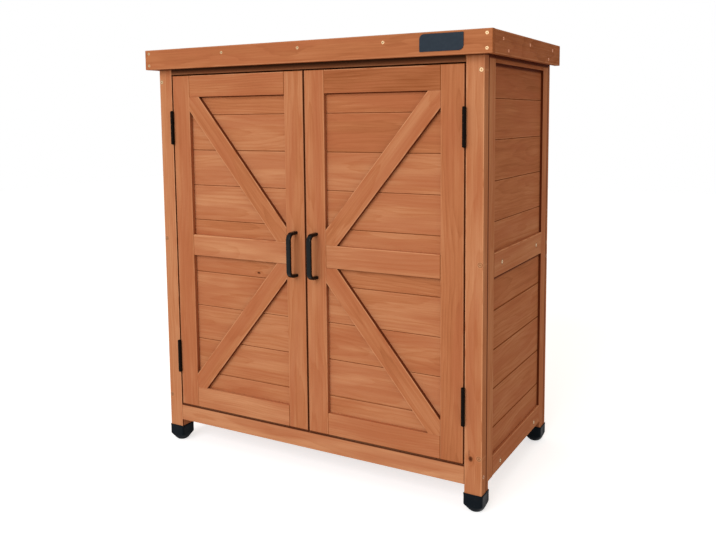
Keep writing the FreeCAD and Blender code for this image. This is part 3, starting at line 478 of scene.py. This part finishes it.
stained = softwood_pattern(
    "stained_softwood", STAIN_PALE, STAIN_MIDDLE, STAIN_DARK, STAIN_RED)
for seed, (corner, tone) in enumerate(POST_TONES.items()):
    hand = 1 if "right" in corner else -1
    at_front = "front" in corner
    outward = (hand, 0, 0)
    panel_edge = PANEL_FRONT if at_front else PANEL_BACK
    lines = [(1, panel_edge, PANEL_LINE, outward), (*EAVES_LINE, outward)]
    holes = []
    if at_front:
        lines += [(*EAVES_LINE, OUTSIDE), (0, hand * POST_GAP, POST_GAP_LINE, OUTSIDE)]
        holes = [(z, hand * POST_SCREW_X, POST_SCREW_REACH) for z in POST_SCREW_HEIGHTS]
    # The posts' arrises are strongly pale with wear and painted highlight.
    cut_board(corner + "_post", stained, POST_GRAIN, POST_ACROSS, 11 + seed, tones=(tone,),
              knot=RIGHT_POST_KNOT if corner == "right_front" else None, wear_and_highlight=0.9,
              lines=lines, sunk=holes)

# Foot caps
# Four black caps moulded in tough plastic, a square socket over the post's end and a round
# pad under it. They are pushed on; the mould leaves a fine sparked texture.
CAP_BLACK = (0.0028, 0.0058, 0.0090)
CAP_DUST = (0.0090, 0.0120, 0.0150)
CAP_ROUGHNESS = 0.52
DUST_CLOUDS, SCUFFS, SPARKED_PITS = 45.0, 260.0, 1400.0
SCUFF_PALER = 2.2
CAP_HALF = 0.0210
CAP_STEP = 0.0003
CAP_INSIDE = 0.01915
CAP_FLOOR = 0.0181
CAP_RIM = 0.0400
SQUARE, ROUND = 16.0, 2.0
CAP_SIDES = 72
CAP_CENTRES = [(x, y, 0.0) for x in (-0.393, 0.393) for y in (-0.188, 0.218)]


def clouded(tree, point, scale, detail=2.0):
    """Noise with the given number of clouds to the metre."""
    feeds = {"Vector": point, "Scale": scale, "Detail": detail}
    return add(tree, "TexNoise", feeds).outputs["Fac"]


def moulded_plastic(name, colour, dust, roughness):
    """Plastic from a sparked mould: fine pits, a little dust in patches, and pale scuffs."""
    material, tree, shader = finish_of(name, 0.06)
    point = add(tree, "TexCoord").outputs["Object"]
    clouds = clouded(tree, point, DUST_CLOUDS, 4.0)
    scuffs = clouded(tree, point, SCUFFS, 1.0)
    tone = tint(tree, between(tree, clouds, 0.45, 0.75, 0.0, 0.45), colour, dust)
    tone = tint(tree, between(tree, scuffs, 0.66, 0.76, 0.0, 0.35), tone,
                tuple(SCUFF_PALER * part for part in dust))
    grain = between(tree, clouds, 0.3, 0.7, roughness - 0.08, roughness + 0.12)
    pits = clouded(tree, point, SPARKED_PITS)
    return finished(material, tree, shader, tone, grain, pits, 0.05 * MM)


def surface(name, points, faces, ends=(), smooth=True):
    """A new piece from an array of points, an array of faces with four corners, and an
    array of further faces with more."""
    mesh = bpy.data.meshes.new(name)
    mesh.from_pydata(points.tolist(), [], faces.tolist() + np.asarray(ends).tolist())
    mesh.polygons.foreach_set("use_smooth", np.full(len(mesh.polygons), smooth))
    mesh.update(calc_edges=True)
    piece = bpy.data.objects.new(name, mesh)
    bpy.context.scene.collection.objects.link(piece)
    return piece


def turned(profile, sides):
    """The rings of a shape turned about an upright axis.

    A profile point is (half width, height, squareness n). Its ring is the curve
    |x|^n + |y|^n = (half width)^n, so n = 2 is a circle and a large n a square with rounded
    corners; the angle runs in even steps."""
    half, height, power = np.array(profile).T[:, :, None]
    angle = np.linspace(0, 2 * np.pi, sides, endpoint=False) + np.pi / sides
    cosine, sine = np.cos(angle), np.sin(angle)
    reach = half * (np.abs(cosine) ** power + np.abs(sine) ** power) ** (-1 / power)
    return np.stack([reach * cosine, reach * sine, np.broadcast_to(height, reach.shape)], -1)


def repeated(name, rings, centres):
    """A new piece with the same closed shape at every centre: its rings of points joined
    each to the next, and the first and the last filled in."""
    count, sides = rings.shape[:2]
    index = np.arange(count * sides).reshape(count, sides)
    after = np.roll(index, -1, 1)
    faces = np.stack([index[:-1], after[:-1], after[1:], index[1:]], -1).reshape(-1, 4)
    ends = np.stack([index[0, ::-1], index[-1]])
    points = (np.array(centres)[:, None] + rings.reshape(-1, 3)).reshape(-1, 3)
    shift = np.arange(len(centres))[:, None, None] * count * sides
    return surface(name, points, (faces + shift).reshape(-1, 4),
                   (ends + shift).reshape(-1, sides))


cap_profile = [
    (0.0040, 0.0006, ROUND), (0.0095, 0.0000, ROUND), (0.0113, 0.0003, ROUND),
    (0.0130, 0.0012, ROUND), (0.0147, 0.0026, ROUND), (0.0163, 0.0044, 2.2),
    (0.0177, 0.0064, 2.4), (0.0188, 0.0086, 2.8), (0.0196, 0.0106, 3.4),
    (0.0201, 0.0124, 4.6), (0.0205, 0.0140, 7.0), (0.0206, 0.0154, 12.0),
    (CAP_HALF - CAP_STEP, 0.0168, SQUARE), (CAP_HALF - CAP_STEP, 0.0355, SQUARE),
    (CAP_HALF - 0.00005, 0.0362, SQUARE), (CAP_HALF, 0.0370, SQUARE),
    (CAP_HALF, 0.0392, SQUARE), (CAP_HALF - 0.0004, 0.0398, SQUARE),
    (CAP_HALF - 0.0010, CAP_RIM, SQUARE), (CAP_INSIDE, 0.0397, SQUARE),
    (CAP_INSIDE, CAP_FLOOR + 0.0005, SQUARE), (CAP_INSIDE - 0.001, CAP_FLOOR, SQUARE),
    (0.0060, CAP_FLOOR, SQUARE)]
foot_mouldings = repeated("foot_mouldings", turned(cap_profile, CAP_SIDES), CAP_CENTRES)
foot_mouldings.data.materials.append(
    moulded_plastic("cap_plastic", CAP_BLACK, CAP_DUST, CAP_ROUGHNESS))
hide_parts("foot_caps")
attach(foot_mouldings, "cabinet")

# Rails between the posts
# Planed softwood rails, two at the front and three across the back, set between the posts
# and held by long screws through them. Their grain runs from side to side.
LEVEL_GRAIN = (1, 0, 0)
UPRIGHT = (0, 0, 1)
# Painted shade by the gap under the doors, on the rail below and on the doors' lower ends
DOOR_FOOT = (2, 97.5, 4.4, OUTSIDE)
BACK_RAIL_PARTINGS = (300, 700)
# The top rail's darker tone and the band below the fascia are painted shade.
cut_board("front_top_rail", stained, LEVEL_GRAIN, UPRIGHT, 21, tones=(0.7,), eaves_shade=1.0)
# The bottom rail's paler tone is painted light on the lower front.
cut_board("front_bottom_rail", stained, LEVEL_GRAIN, UPRIGHT, 22, tones=(-0.15,),
          lines=(DOOR_FOOT,))
cut_board("back_rails", stained, LEVEL_GRAIN, UPRIGHT, 23, joints=BACK_RAIL_PARTINGS,
          split=UPRIGHT)

# Side panels
# Thin frames of stiles and rails, glued on horizontal tongued boards, each panel dropped
# into the rebates of the posts. Painted shade lies under the rails, beside the front stile,
# under the side fascia and on the sawn edges.
DEPTH_GRAIN = (0, 1, 0)
SIDE_JOINTS = (154, 237, 320, 403, 486, 505, 588, 671, 754, 837)
SIDE_STILE = 38
# The side boards grow darker towards the top, and the top rail is darkest: painted shade under
# the side fascia.
SIDE_TONES = (0.50, 0.52, 0.60, 0.72, 0.78, 0.6, 0.64, 0.80, 0.90, 0.94, 1.4)
SIDE_RAIL_TONES = (1.2, 0.26, 0.45)
# Painted shade beside the front stile, under the side fascia, by the panel's edges and under the
# rails
STILE_LINE = (1, -144.0, 6.0)
SIDE_EAVES_LINE = (2, 919.0, 7.5)
PANEL_LINES = ((1, PANEL_FRONT, PANEL_LINE), (1, PANEL_BACK, PANEL_LINE), SIDE_EAVES_LINE)
# Round these screws the wood gets a dark ring, painted shade of the countersink with crushed
# fibres.
SIDE_SCREW_DEPTHS, SIDE_SCREW_REACH = (-95.0, 145.0), 5.2
SIDE_SCREW_HEIGHTS = {"top": None, "middle": 501.0, "bottom": 72.0}
RAIL_LINE = 9.0
for seed, side in enumerate(("left", "right")):
    outward = (2 * seed - 1, 0, 0)
    cut_board(side + "_side_stiles", stained, UPRIGHT, DEPTH_GRAIN, 31 + seed,
              joints=(PANEL_FRONT + SIDE_STILE, PANEL_BACK - SIDE_STILE),
              jointed=0.3, sawn_and_shade=0.9, lines=PANEL_LINES)
    for place, (rail, height) in enumerate(SIDE_SCREW_HEIGHTS.items()):
        holes = [(y, height, SIDE_SCREW_REACH) for y in SIDE_SCREW_DEPTHS if height]
        cut_board(f"{side}_side_{rail}_rail", stained, DEPTH_GRAIN, UPRIGHT,
                  41 + 3 * seed + place, tones=(SIDE_RAIL_TONES[place],), sawn_and_shade=0.9,
                  topped=1.0, wear_and_highlight=0.9, sunk=holes, lines=(SIDE_EAVES_LINE,))
    under_rails = [(2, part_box(f"{side}_side_{rail}_rail")[0][2] / MM, RAIL_LINE, outward)
                   for rail in ("top", "middle")]
    cut_board(side + "_side_boards", stained, DEPTH_GRAIN, UPRIGHT, 51 + seed,
              joints=SIDE_JOINTS, tones=SIDE_TONES,
              lines=(*under_rails, (*STILE_LINE, outward)))

# Back panel
# Horizontal tongued boards inside the back rails, of the same stained softwood.
BACK_LOW, BACK_HIGH, BACK_COUNT = 57, 945, 11


def even_joints(first, last, boards):
    """Where boards of one width meet, between the outer edges of the first and the last."""
    return tuple(np.linspace(first, last, boards + 1)[1:-1])


cut_board("back_boards", stained, LEVEL_GRAIN, UPRIGHT, 61,
          joints=even_joints(BACK_LOW, BACK_HIGH, BACK_COUNT))

# Floor and shelf
# Tongued floor boards on three bearers, and open shelf slats on two. They get one matt coat
# of the same stain, so they stay paler and rougher than the outside.
INNER_PALE = (0.690, 0.345, 0.165)
INNER_MIDDLE = (0.540, 0.225, 0.095)
INNER_DARK = (0.300, 0.100, 0.036)
INNER_RED = (0.500, 0.180, 0.075)
INNER_SPECULAR = 0.2
FLOOR_FRONT, SHELF_FRONT, INNER_BACK = -187, -147, 213
FLOOR_COUNT, SHELF_COUNT = 5, 4
FLOOR_BEARER_PARTINGS, PAIR_PARTING = (-200, 200), (0,)
inner = softwood_pattern(
    "inner_softwood", INNER_PALE, INNER_MIDDLE, INNER_DARK, INNER_RED)
cut_board("floor_boards", inner, LEVEL_GRAIN, DEPTH_GRAIN, 71,
          joints=even_joints(FLOOR_FRONT, INNER_BACK, FLOOR_COUNT), specular=INNER_SPECULAR)
cut_board("floor_bearers", inner, DEPTH_GRAIN, UPRIGHT, 72, joints=FLOOR_BEARER_PARTINGS,
          split=LEVEL_GRAIN, specular=INNER_SPECULAR)
cut_board("shelf_boards", inner, LEVEL_GRAIN, DEPTH_GRAIN, 73,
          joints=even_joints(SHELF_FRONT, INNER_BACK, SHELF_COUNT), specular=INNER_SPECULAR)
cut_board("shelf_bearers", inner, DEPTH_GRAIN, UPRIGHT, 74, joints=PAIR_PARTING,
          split=LEVEL_GRAIN, specular=INNER_SPECULAR)

# Roof boards and battens
# Ten tongued boards from front to back, screwed down, with a batten under each side that
# fills the overhang. Rough sawn faces, one coat of stain.
ROOF_HALF, ROOF_COUNT = 422, 10
cut_board("roof_boards", inner, DEPTH_GRAIN, LEVEL_GRAIN, 81,
          joints=even_joints(-ROOF_HALF, ROOF_HALF, ROOF_COUNT), specular=INNER_SPECULAR)
cut_board("roof_battens", inner, DEPTH_GRAIN, UPRIGHT, 82, joints=PAIR_PARTING,
          split=LEVEL_GRAIN, specular=INNER_SPECULAR)

# Roof sheet
# Thin galvanised sheet laid over the boards, its rim bent down and pressed flat, so it lies
# a little hollow between the rows of clout nails that hold it.
SHEET_HALF = 0.421
SHEET_FRONT, SHEET_BACK = -0.214, 0.237
SHEET_LOW = 0.9601
SHEET_GAUGE = 0.0006
SHEET_RISE = 0.0002
SHEET_COLUMNS, SHEET_ROWS = 121, 71
RIM_FALL = 0.009
RIM_CROWDING = 1.6
WAVES_X, WAVES_Y, SHIFT_X, SHIFT_Y = 29.0, 41.0, 0.6, -0.4
ZINC_GREY = (0.47, 0.49, 0.50)
ZINC_DULL = (0.30, 0.31, 0.32)
SPANGLE, WEATHER, ROLLED = 95.0, 6.0, (4.0, 900.0, 4.0)


def laid_sheet(name, columns, rows):
    """Sheet metal as a grid of height over x and y, closed by a flat underside.

    Height = base + gauge + small hollows, a product of two cosines that fades to nothing
    at the rim, where the top rolls down to half the gauge over the last millimetres. The
    grid lines stand closer towards the rim."""
    def crowded(count):
        even = np.linspace(-1, 1, count)
        return np.sign(even) * (1 - (1 - np.abs(even)) ** RIM_CROWDING)

    depth = (SHEET_FRONT + SHEET_BACK) / 2 + crowded(rows) * (SHEET_BACK - SHEET_FRONT) / 2
    x, y = np.meshgrid(crowded(columns) * SHEET_HALF, depth)
    to_rim = np.minimum(SHEET_HALF - np.abs(x), np.minimum(y - SHEET_FRONT, SHEET_BACK - y))
    inside = np.clip(to_rim / RIM_FALL, 0, 1)
    inside = inside * inside * (3 - 2 * inside)
    hollow = np.cos(x * WAVES_X + SHIFT_X) * np.cos(y * WAVES_Y + SHIFT_Y)
    top = SHEET_LOW + SHEET_GAUGE * (0.5 + 0.5 * inside) + SHEET_RISE * hollow * inside
    upper = np.stack([x, y, top], -1).reshape(-1, 3)
    lower = upper.copy()
    lower[:, 2] = SHEET_LOW
    index = np.arange(rows * columns).reshape(rows, columns)
    faces_up = np.stack([
        index[:-1, :-1], index[:-1, 1:], index[1:, 1:], index[1:, :-1]], -1).reshape(-1, 4)
    faces_down = faces_up[:, ::-1] + rows * columns
    ring = np.concatenate([index[0, :-1], index[:-1, -1], index[-1, :0:-1], index[:0:-1, 0]])
    after = np.roll(ring, -1)
    walls = np.stack([ring, ring + rows * columns, after + rows * columns, after], 1)
    return surface(name, np.concatenate([upper, lower]),
                   np.concatenate([faces_up, faces_down, walls]))


def galvanised(name):
    """Hot-dipped zinc: crystals of many greys, dulled by weather, with fine rolling lines."""
    material, tree, shader = finish_of(name, 0.5, metallic=1.0)
    point = add(tree, "TexCoord").outputs["Object"]
    crystals = add(tree, "TexVoronoi", {"Vector": point, "Scale": SPANGLE}).outputs["Color"]
    facet = shares_of(tree, crystals)
    dull = between(tree, clouded(tree, point, WEATHER, 5.0), 0.42, 0.68, 0.0, 0.6)
    rolled = clouded(tree, vector_worked(tree, "MULTIPLY", point, ROLLED), 1.0, 1.0)
    tone = tint(tree, product(tree, facet[0], 0.45), ZINC_GREY, ZINC_DULL)
    tone = tint(tree, dull, tone, ZINC_DULL)
    rough = scaled(tree, dull, 0.25, scaled(tree, facet[1], 0.16, 0.30))
    relief = scaled(tree, rolled, 0.3, facet[2])
    return finished(material, tree, shader, tone, rough, relief, 0.02 * MM)


roof_cover = laid_sheet("roof_cover", SHEET_COLUMNS, SHEET_ROWS)
roof_cover.data.materials.append(galvanised("galvanised_sheet"))
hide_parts("roof_sheet")
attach(roof_cover, "cabinet")

# Clout nails of the roof sheet
# Large flat heads, slightly domed, driven through the sheet along its front and back edges,
# its sides and its middle.
NAIL_RADIUS = 0.0042
NAIL_HEAD = 0.0011
NAIL_IN = 0.016
NAIL_SIDES = 16
nail_top = SHEET_LOW + SHEET_GAUGE
nail_x = np.linspace(-SHEET_HALF + NAIL_IN, SHEET_HALF - NAIL_IN, 9)
nail_y = np.linspace(SHEET_FRONT + NAIL_IN, SHEET_BACK - NAIL_IN, 5)
nail_places = [(x, y, nail_top) for x in nail_x for y in (nail_y[0], nail_y[-1])]
nail_places += [(x, y, nail_top) for y in nail_y[1:-1] for x in nail_x[[0, 4, 8]]]
nail_profile = [
    (NAIL_RADIUS, -0.0004, ROUND), (NAIL_RADIUS, 0.35 * NAIL_HEAD, ROUND),
    (0.88 * NAIL_RADIUS, 0.7 * NAIL_HEAD, ROUND), (0.5 * NAIL_RADIUS, 0.95 * NAIL_HEAD, ROUND),
    (0.2 * NAIL_RADIUS, NAIL_HEAD, ROUND)]
roof_nails = repeated("roof_nails", turned(nail_profile, NAIL_SIDES), nail_places)
roof_nails.data.materials.append(galvanised("nail_zinc"))
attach(roof_nails, "cabinet")

# Fascias
# Three planed boards round the roof, the front one covering the ends of the other two,
# screwed to the roof boards and battens. They stand 4 mm above the sheet.
cut_board("front_fascia", stained, LEVEL_GRAIN, UPRIGHT, 91, tones=(0.95,))
cut_board("side_fascias", stained, DEPTH_GRAIN, UPRIGHT, 92, joints=PAIR_PARTING,
          split=LEVEL_GRAIN, tones=(0.8, 1.35))

# Plate on the front fascia
# Small plain aluminium plate, lacquered dark navy and glued on. Two opposite corners are
# well rounded.
PLATE_NAVY = (0.0085, 0.0175, 0.0290)
PLATE_LIGHT = (0.0120, 0.0230, 0.0360)
MOTTLE, HAIRLINES = 160.0, (60.0, 60.0, 5200.0)


def lacquered_plate(name):
    """Satin lacquer over metal: faint mottle and hairline scratches from side to side."""
    material, tree, shader = finish_of(name, 0.18)
    point = add(tree, "TexCoord").outputs["Object"]
    mottle = between(tree, clouded(tree, point, MOTTLE, 3.0), 0.35, 0.75)
    hair = clouded(tree, vector_worked(tree, "MULTIPLY", point, HAIRLINES), 1.0)
    rough = between(tree, hair, 0.3, 0.7, 0.34, 0.50)
    tone = tint(tree, mottle, PLATE_NAVY, PLATE_LIGHT)
    return finished(material, tree, shader, tone, rough, hair, 0.01 * MM)


dress("badge_plate", lacquered_plate("navy_lacquer"))

# Door frames
# Stiles and rails of planed softwood, 10 mm thick, glued and pinned from behind on the door's
# boards. The two braces of each door run from the middle rail out to the corners.
DOOR_MIDDLE = 501
BRACE_START, BRACE_RUN, BRACE_RISE, BRACE_WIDTH = 25.0, 269.5, 327.0, 43.0
# Painted shade by the gap between the doors and by the gap under them
MEETING_GAP = (0, 0.0, 3.8, OUTSIDE)
STILE_LINES = {"outer": (DOOR_FOOT,), "inner": (DOOR_FOOT, MEETING_GAP)}
# The top rails are darker in tone than the bottom ones: painted shade under the front fascia.
FRAME_TONES = {
    "left": {"outer": 0.55, "inner": 0.48, "ends": (0.05, 0.68), "middle": -0.12},
    "right": {"outer": 0.84, "inner": 0.52, "ends": (0.30, 1.25), "middle": 0.14}}
brace_length = math.hypot(BRACE_RUN, BRACE_RISE)
# The lower edges of the rails and the sawn edges of the braces are dark with soaked stain and
# painted shade.
for seed, (side, hand) in enumerate((("left", -1), ("right", 1))):
    tones = FRAME_TONES[side]
    for number, (stile, lines) in enumerate(STILE_LINES.items()):
        cut_board(f"{side}_door_{stile}_stile", stained, UPRIGHT, LEVEL_GRAIN,
                  101 + 2 * number + seed, tones=(tones[stile],), sawn_and_shade=0.25, lines=lines)
    # The rails' upper arrises are pale with wear and painted highlight.
    cut_board(side + "_door_end_rails", stained, LEVEL_GRAIN, UPRIGHT, 105 + seed,
              joints=(DOOR_MIDDLE,), tones=tones["ends"], jointed=0.0, sawn_and_shade=0.8, topped=1.0,
              wear_and_highlight=0.8, ended=1.0, lines=(DOOR_FOOT,))
    cut_board(side + "_door_middle_rail", stained, LEVEL_GRAIN, UPRIGHT, 107 + seed,
              tones=(tones["middle"],), sawn_and_shade=0.8, topped=1.0, wear_and_highlight=0.8, ended=1.0)
    along = (hand * BRACE_RUN / brace_length, 0, BRACE_RISE / brace_length)
    across = (-hand * BRACE_RISE / brace_length, 0, BRACE_RUN / brace_length)
    cut_board(side + "_door_braces", stained, along, across, 109 + seed,
              joints=(DOOR_MIDDLE,), split=UPRIGHT, sawn_and_shade=0.8, wear_and_highlight=0.8,
              brace=(DOOR_MIDDLE, BRACE_START, BRACE_RISE, BRACE_WIDTH))

# Door boards
# Horizontal tongued boards behind the whole frame, 83 mm wide, with the cut boards at the
# top, at the bottom and behind the middle rail.
DOOR_JOINTS = (187, 270, 353, 436, 501, 562, 645, 728, 811)
DOOR_BOARD_TONES = {
    "left": (0.36, 0.42, 0.32, 0.34, 0.45, 0.66, 0.16, 0.02, 0.36, 0.76),
    "right": (0.40, 0.14, 0.42, 0.38, 0.68, 0.42, 0.34, 0.30, 0.86, 0.80)}
# Painted shade on the boards just under the middle and top rails
UNDER_RAIL_HEIGHTS, UNDER_RAIL_REACH = (476.0, 853.0), 2.6
under_rails = [(2, height, UNDER_RAIL_REACH, OUTSIDE) for height in UNDER_RAIL_HEIGHTS]
for seed, (side, tones) in enumerate(DOOR_BOARD_TONES.items()):
    cut_board(side + "_door_boards", stained, LEVEL_GRAIN, UPRIGHT, 111 + seed,
              joints=DOOR_JOINTS, tones=tones, jointed=0.55, lines=under_rails)

# Handles, hinges and their screws
# Bow handles bent from flat bar, and steel butt hinges, all in black powder coat with the
# fine orange peel that such a coat has. Edges and screw heads are rubbed a little.
COAT_BLACK = (0.0030, 0.0042, 0.0048)
COAT_RUBBED = (0.0085, 0.0105, 0.0120)
HINGE_BLACK = (0.0060, 0.0040, 0.0028)
HINGE_RUBBED = (0.0160, 0.0115, 0.0085)
RUB, ORANGE_PEEL = 120.0, 900.0


def powder_coat(name, black, rubbed_black, roughness, specular):
    """Black powder coat: orange-peel relief, slightly uneven gloss and rubbed spots."""
    material, tree, shader = finish_of(name, specular)
    point = add(tree, "TexCoord").outputs["Object"]
    rub = clouded(tree, point, RUB, 4.0)
    tone = tint(tree, between(tree, rub, 0.56, 0.74, 0.0, 0.7), black, rubbed_black)
    gloss = between(tree, rub, 0.35, 0.7, roughness - 0.05, roughness + 0.12)
    peel = clouded(tree, point, ORANGE_PEEL, 1.0)
    return finished(material, tree, shader, tone, gloss, peel, 0.06 * MM)


handle_coat = powder_coat("handle_coat", COAT_BLACK, COAT_RUBBED, 0.20, 0.15)
hinge_coat = powder_coat("hinge_coat", HINGE_BLACK, HINGE_RUBBED, 0.58, 0.04)
for side in ("left", "right"):
    dress(side + "_door_handle", handle_coat)
    dress(side + "_door_hinge_leaves", hinge_coat)
    dress(side + "_door_hinge_screws", hinge_coat)
for part in ("hinge_post_leaves", "hinge_post_screws", "hinge_pins"):
    dress(part, hinge_coat)

# Plated screws
# Yellow zinc plated countersunk screws with cross recesses, through posts, side panels and
# fascias, and bright zinc ones behind the handles.
YELLOW_ZINC = (0.620, 0.425, 0.235)
YELLOW_DARK = (0.300, 0.140, 0.060)
BRIGHT_ZINC = (0.480, 0.490, 0.505)
BRIGHT_DARK = (0.220, 0.230, 0.240)
PLATING_ROUGHNESS = 0.36
PATCHES, TURNING_LINES = 420.0, 2600.0
RECESS_SHADE, RECESS_REACH = (0.060, 0.030, 0.014), 0.0016
SMEARED_POSTS, SMEAR_BROWN = (2, 0.86, 0.80, 0.2, 1.0), (0.330, 0.120, 0.045)
SMEARED_FASCIAS, SMEAR_ORANGE = (0, 0.426, 0.430, 0.0, 1.2), (0.680, 0.250, 0.105)


def plated(name, colour, dark, smeared=None, smear=None):
    """Zinc plating: passivation in patches, turning lines, and painted shade in the cross
    recess where little of the sky is open.

    smeared is where stain was brushed over the heads: an axis, the two places on it
    between which the smear sets in, measured both ways, and how much there is at each."""
    material, tree, shader = finish_of(name, 0.5, metallic=1.0)
    point = add(tree, "TexCoord").outputs["Object"]
    patch = clouded(tree, point, PATCHES, 3.0)
    fine = clouded(tree, point, TURNING_LINES)
    tone = tint(tree, between(tree, patch, 0.52, 0.80, 0.0, 0.5), colour, dark)
    # Painted shade in the cross recess, from how much of the sky is open there
    open_sky = add(tree, "AmbientOcclusion", {"Distance": RECESS_REACH}, only_local=True,
                   samples=6).outputs["AO"]
    tone = tint(tree, between(tree, open_sky, 0.92, 0.60, 0.0, 0.7), tone, RECESS_SHADE)
    if smeared:
        axis, *limits = smeared
        away = worked(tree, "ABSOLUTE", parts_of(tree, point)[axis])
        brushed = product(tree, between(tree, patch, 0.3, 0.55, 0.55, 0.9),
                          between(tree, away, *limits))
        tone = tint(tree, brushed, tone, smear)
    rough = between(tree, fine, 0.3, 0.7, PLATING_ROUGHNESS - 0.08, PLATING_ROUGHNESS + 0.14)
    return finished(material, tree, shader, tone, rough, fine, 0.02 * MM)


bright_plating = plated("bright_zinc_plating", BRIGHT_ZINC, BRIGHT_DARK)
dress("side_screws", plated("yellow_zinc_plating", YELLOW_ZINC, YELLOW_DARK))
dress("fascia_screws", plated(
    "fascia_zinc_plating", YELLOW_ZINC, YELLOW_DARK, SMEARED_FASCIAS, SMEAR_ORANGE))
dress("post_screws", plated(
    "smeared_zinc_plating", YELLOW_ZINC, YELLOW_DARK, SMEARED_POSTS, SMEAR_BROWN))
for side in ("left", "right"):
    dress(side + "_door_handle_screws", bright_plating)
    dress(side + "_door_strike_plate", bright_plating)

# Magnetic catches
# Brown moulded cases screwed behind the top rail. Each holds a magnet between two steel pole
# strips, which stand a little proud of the case towards the door's strike plate.
CASE_BROWN = (0.105, 0.042, 0.018)
CASE_DUST = (0.180, 0.110, 0.070)
CASE_ROUGHNESS = 0.35
CATCH_X, CATCH_FACE = 0.0265, -0.1862
POLE_LENGTH, POLE_HEIGHT, POLE_SINK, POLE_PROUD = 0.0260, 0.0022, 0.0040, 0.0002
POLE_HEIGHTS = (0.8885, 0.8965)
POLE_COLUMNS, POLE_ROWS = 24, 12
POLE_SQUARENESS = 8.0
POLE_END_ANGLE = 0.02


def rounded_bar(sizes, columns, rows):
    """The rings of a superellipsoid: each half size times a signed power of the sine and
    cosine of two angles, which gives flat faces with tightly rounded edges."""
    turn = np.linspace(-np.pi, np.pi, columns, endpoint=False)
    steepest = np.pi / 2 - POLE_END_ANGLE
    lift = np.linspace(-steepest, steepest, rows)[:, None]

    def eased(value):
        return np.sign(value) * np.abs(value) ** (2 / POLE_SQUARENESS)

    return np.stack(np.broadcast_arrays(
        eased(np.cos(lift)) * eased(np.cos(turn)), eased(np.cos(lift)) * eased(np.sin(turn)),
        eased(np.sin(lift))), -1) * np.array(sizes) / 2


dress("catch_magnets", moulded_plastic("catch_case", CASE_BROWN, CASE_DUST, CASE_ROUGHNESS))
pole_centres = [(hand * CATCH_X, CATCH_FACE - POLE_PROUD + POLE_SINK / 2, z)
                for hand in (-1, 1) for z in POLE_HEIGHTS]
pole_rings = rounded_bar((POLE_LENGTH, POLE_SINK, POLE_HEIGHT), POLE_COLUMNS, POLE_ROWS)
catch_poles = repeated("catch_poles", pole_rings, pole_centres)
catch_poles.data.materials.append(bright_plating)
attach(catch_poles, "cabinet")

# Studio
# A pale floor that goes on into a white surround, one large soft lamp high in front and an
# even sky. Behind the object the camera and the reflections see plain white.
FLOOR_SIZE = 14.0
FLOOR_COLOUR = (0.78, 0.78, 0.78)
FLOOR_ROUGHNESS = 0.9
FLOOR_LIFT = 0.66
WHITE = (1.0, 1.0, 1.0)
SKY_LEVEL = 0.51
SKY_TINT = (1.04, 0.922, 0.805)
LAMP_TINT = (0.975, 1.006, 1.072)
LAMP_POWER = 550.0
LAMP_SIZE = 6.6
LAMP_PLACE = (-0.80, -9.00, 5.00)
LAMP_AIM = (0.0, 0.0, 0.45)


def rays_seen(tree):
    """1 for what the camera sees, straight on or by a reflection or through glass, and 0
    for the light that falls on surfaces."""
    rays = add(tree, "LightPath").outputs
    return worked(tree, "MAXIMUM", rays["Is Camera Ray"], worked(
        tree, "MAXIMUM", rays["Is Glossy Ray"], rays["Is Transmission Ray"]))


world = bpy.data.worlds.new("surround")
bpy.context.scene.world = world
world.use_nodes = True
tree = world.node_tree
seen = rays_seen(tree)
background = tree.nodes["Background"].inputs
tree.links.new(tint(tree, seen, SKY_TINT, WHITE), background["Color"])
tree.links.new(scaled(tree, seen, 1.0 - SKY_LEVEL, SKY_LEVEL), background["Strength"])

half = FLOOR_SIZE / 2
floor = surface("floor", np.array([
    (-half, -half, 0), (half, -half, 0), (half, half, 0), (-half, half, 0)]),
    np.array([[0, 1, 2, 3]]), smooth=False)
material, tree, shader = finish_of("pale_floor", 0.0)
shader.inputs["Base Color"].default_value = (*FLOOR_COLOUR, 1)
shader.inputs["Roughness"].default_value = FLOOR_ROUGHNESS
shader.inputs["Emission Color"].default_value = (*WHITE, 1)
lift = product(tree, rays_seen(tree), FLOOR_LIFT)
tree.links.new(lift, shader.inputs["Emission Strength"])
floor.data.materials.append(material)

light = bpy.data.lights.new("key_lamp", "AREA")
light.size = LAMP_SIZE
light.energy = LAMP_POWER
light.color = LAMP_TINT
key_lamp = bpy.data.objects.new("key_lamp", light)
bpy.context.scene.collection.objects.link(key_lamp)
back = np.array(LAMP_PLACE) - np.array(LAMP_AIM)
key_lamp.location = LAMP_PLACE
key_lamp.rotation_euler = (
    math.atan2(math.hypot(back[0], back[1]), back[2]), 0.0, math.atan2(back[0], -back[1]))

# Camera
# The photograph's viewpoint, from the front right and a little above the doors' middle. Its
# optical axis lies above the middle of the picture, so the frame is shifted down.
IMAGE_WIDTH, IMAGE_HEIGHT = 716, 540
FOCAL_PIXELS = 791.5
AXIS_ROW = 200.0
SENSOR_WIDTH = 36.0
CAMERA_PLACE = (0.94591, -1.65365, 0.80015)
CAMERA_TURN = (84.0904, 0.5312, 29.2793)
camera_data = bpy.data.cameras.new("camera")
camera_data.sensor_width = SENSOR_WIDTH
camera_data.lens = FOCAL_PIXELS * SENSOR_WIDTH / IMAGE_WIDTH
camera_data.shift_y = (AXIS_ROW - IMAGE_HEIGHT / 2) / IMAGE_WIDTH
camera = bpy.data.objects.new("camera", camera_data)
bpy.context.scene.collection.objects.link(camera)
camera.location = CAMERA_PLACE
camera.rotation_euler = tuple(math.radians(angle) for angle in CAMERA_TURN)
bpy.context.scene.camera = camera
bpy.context.scene.view_settings.view_transform = "Standard"
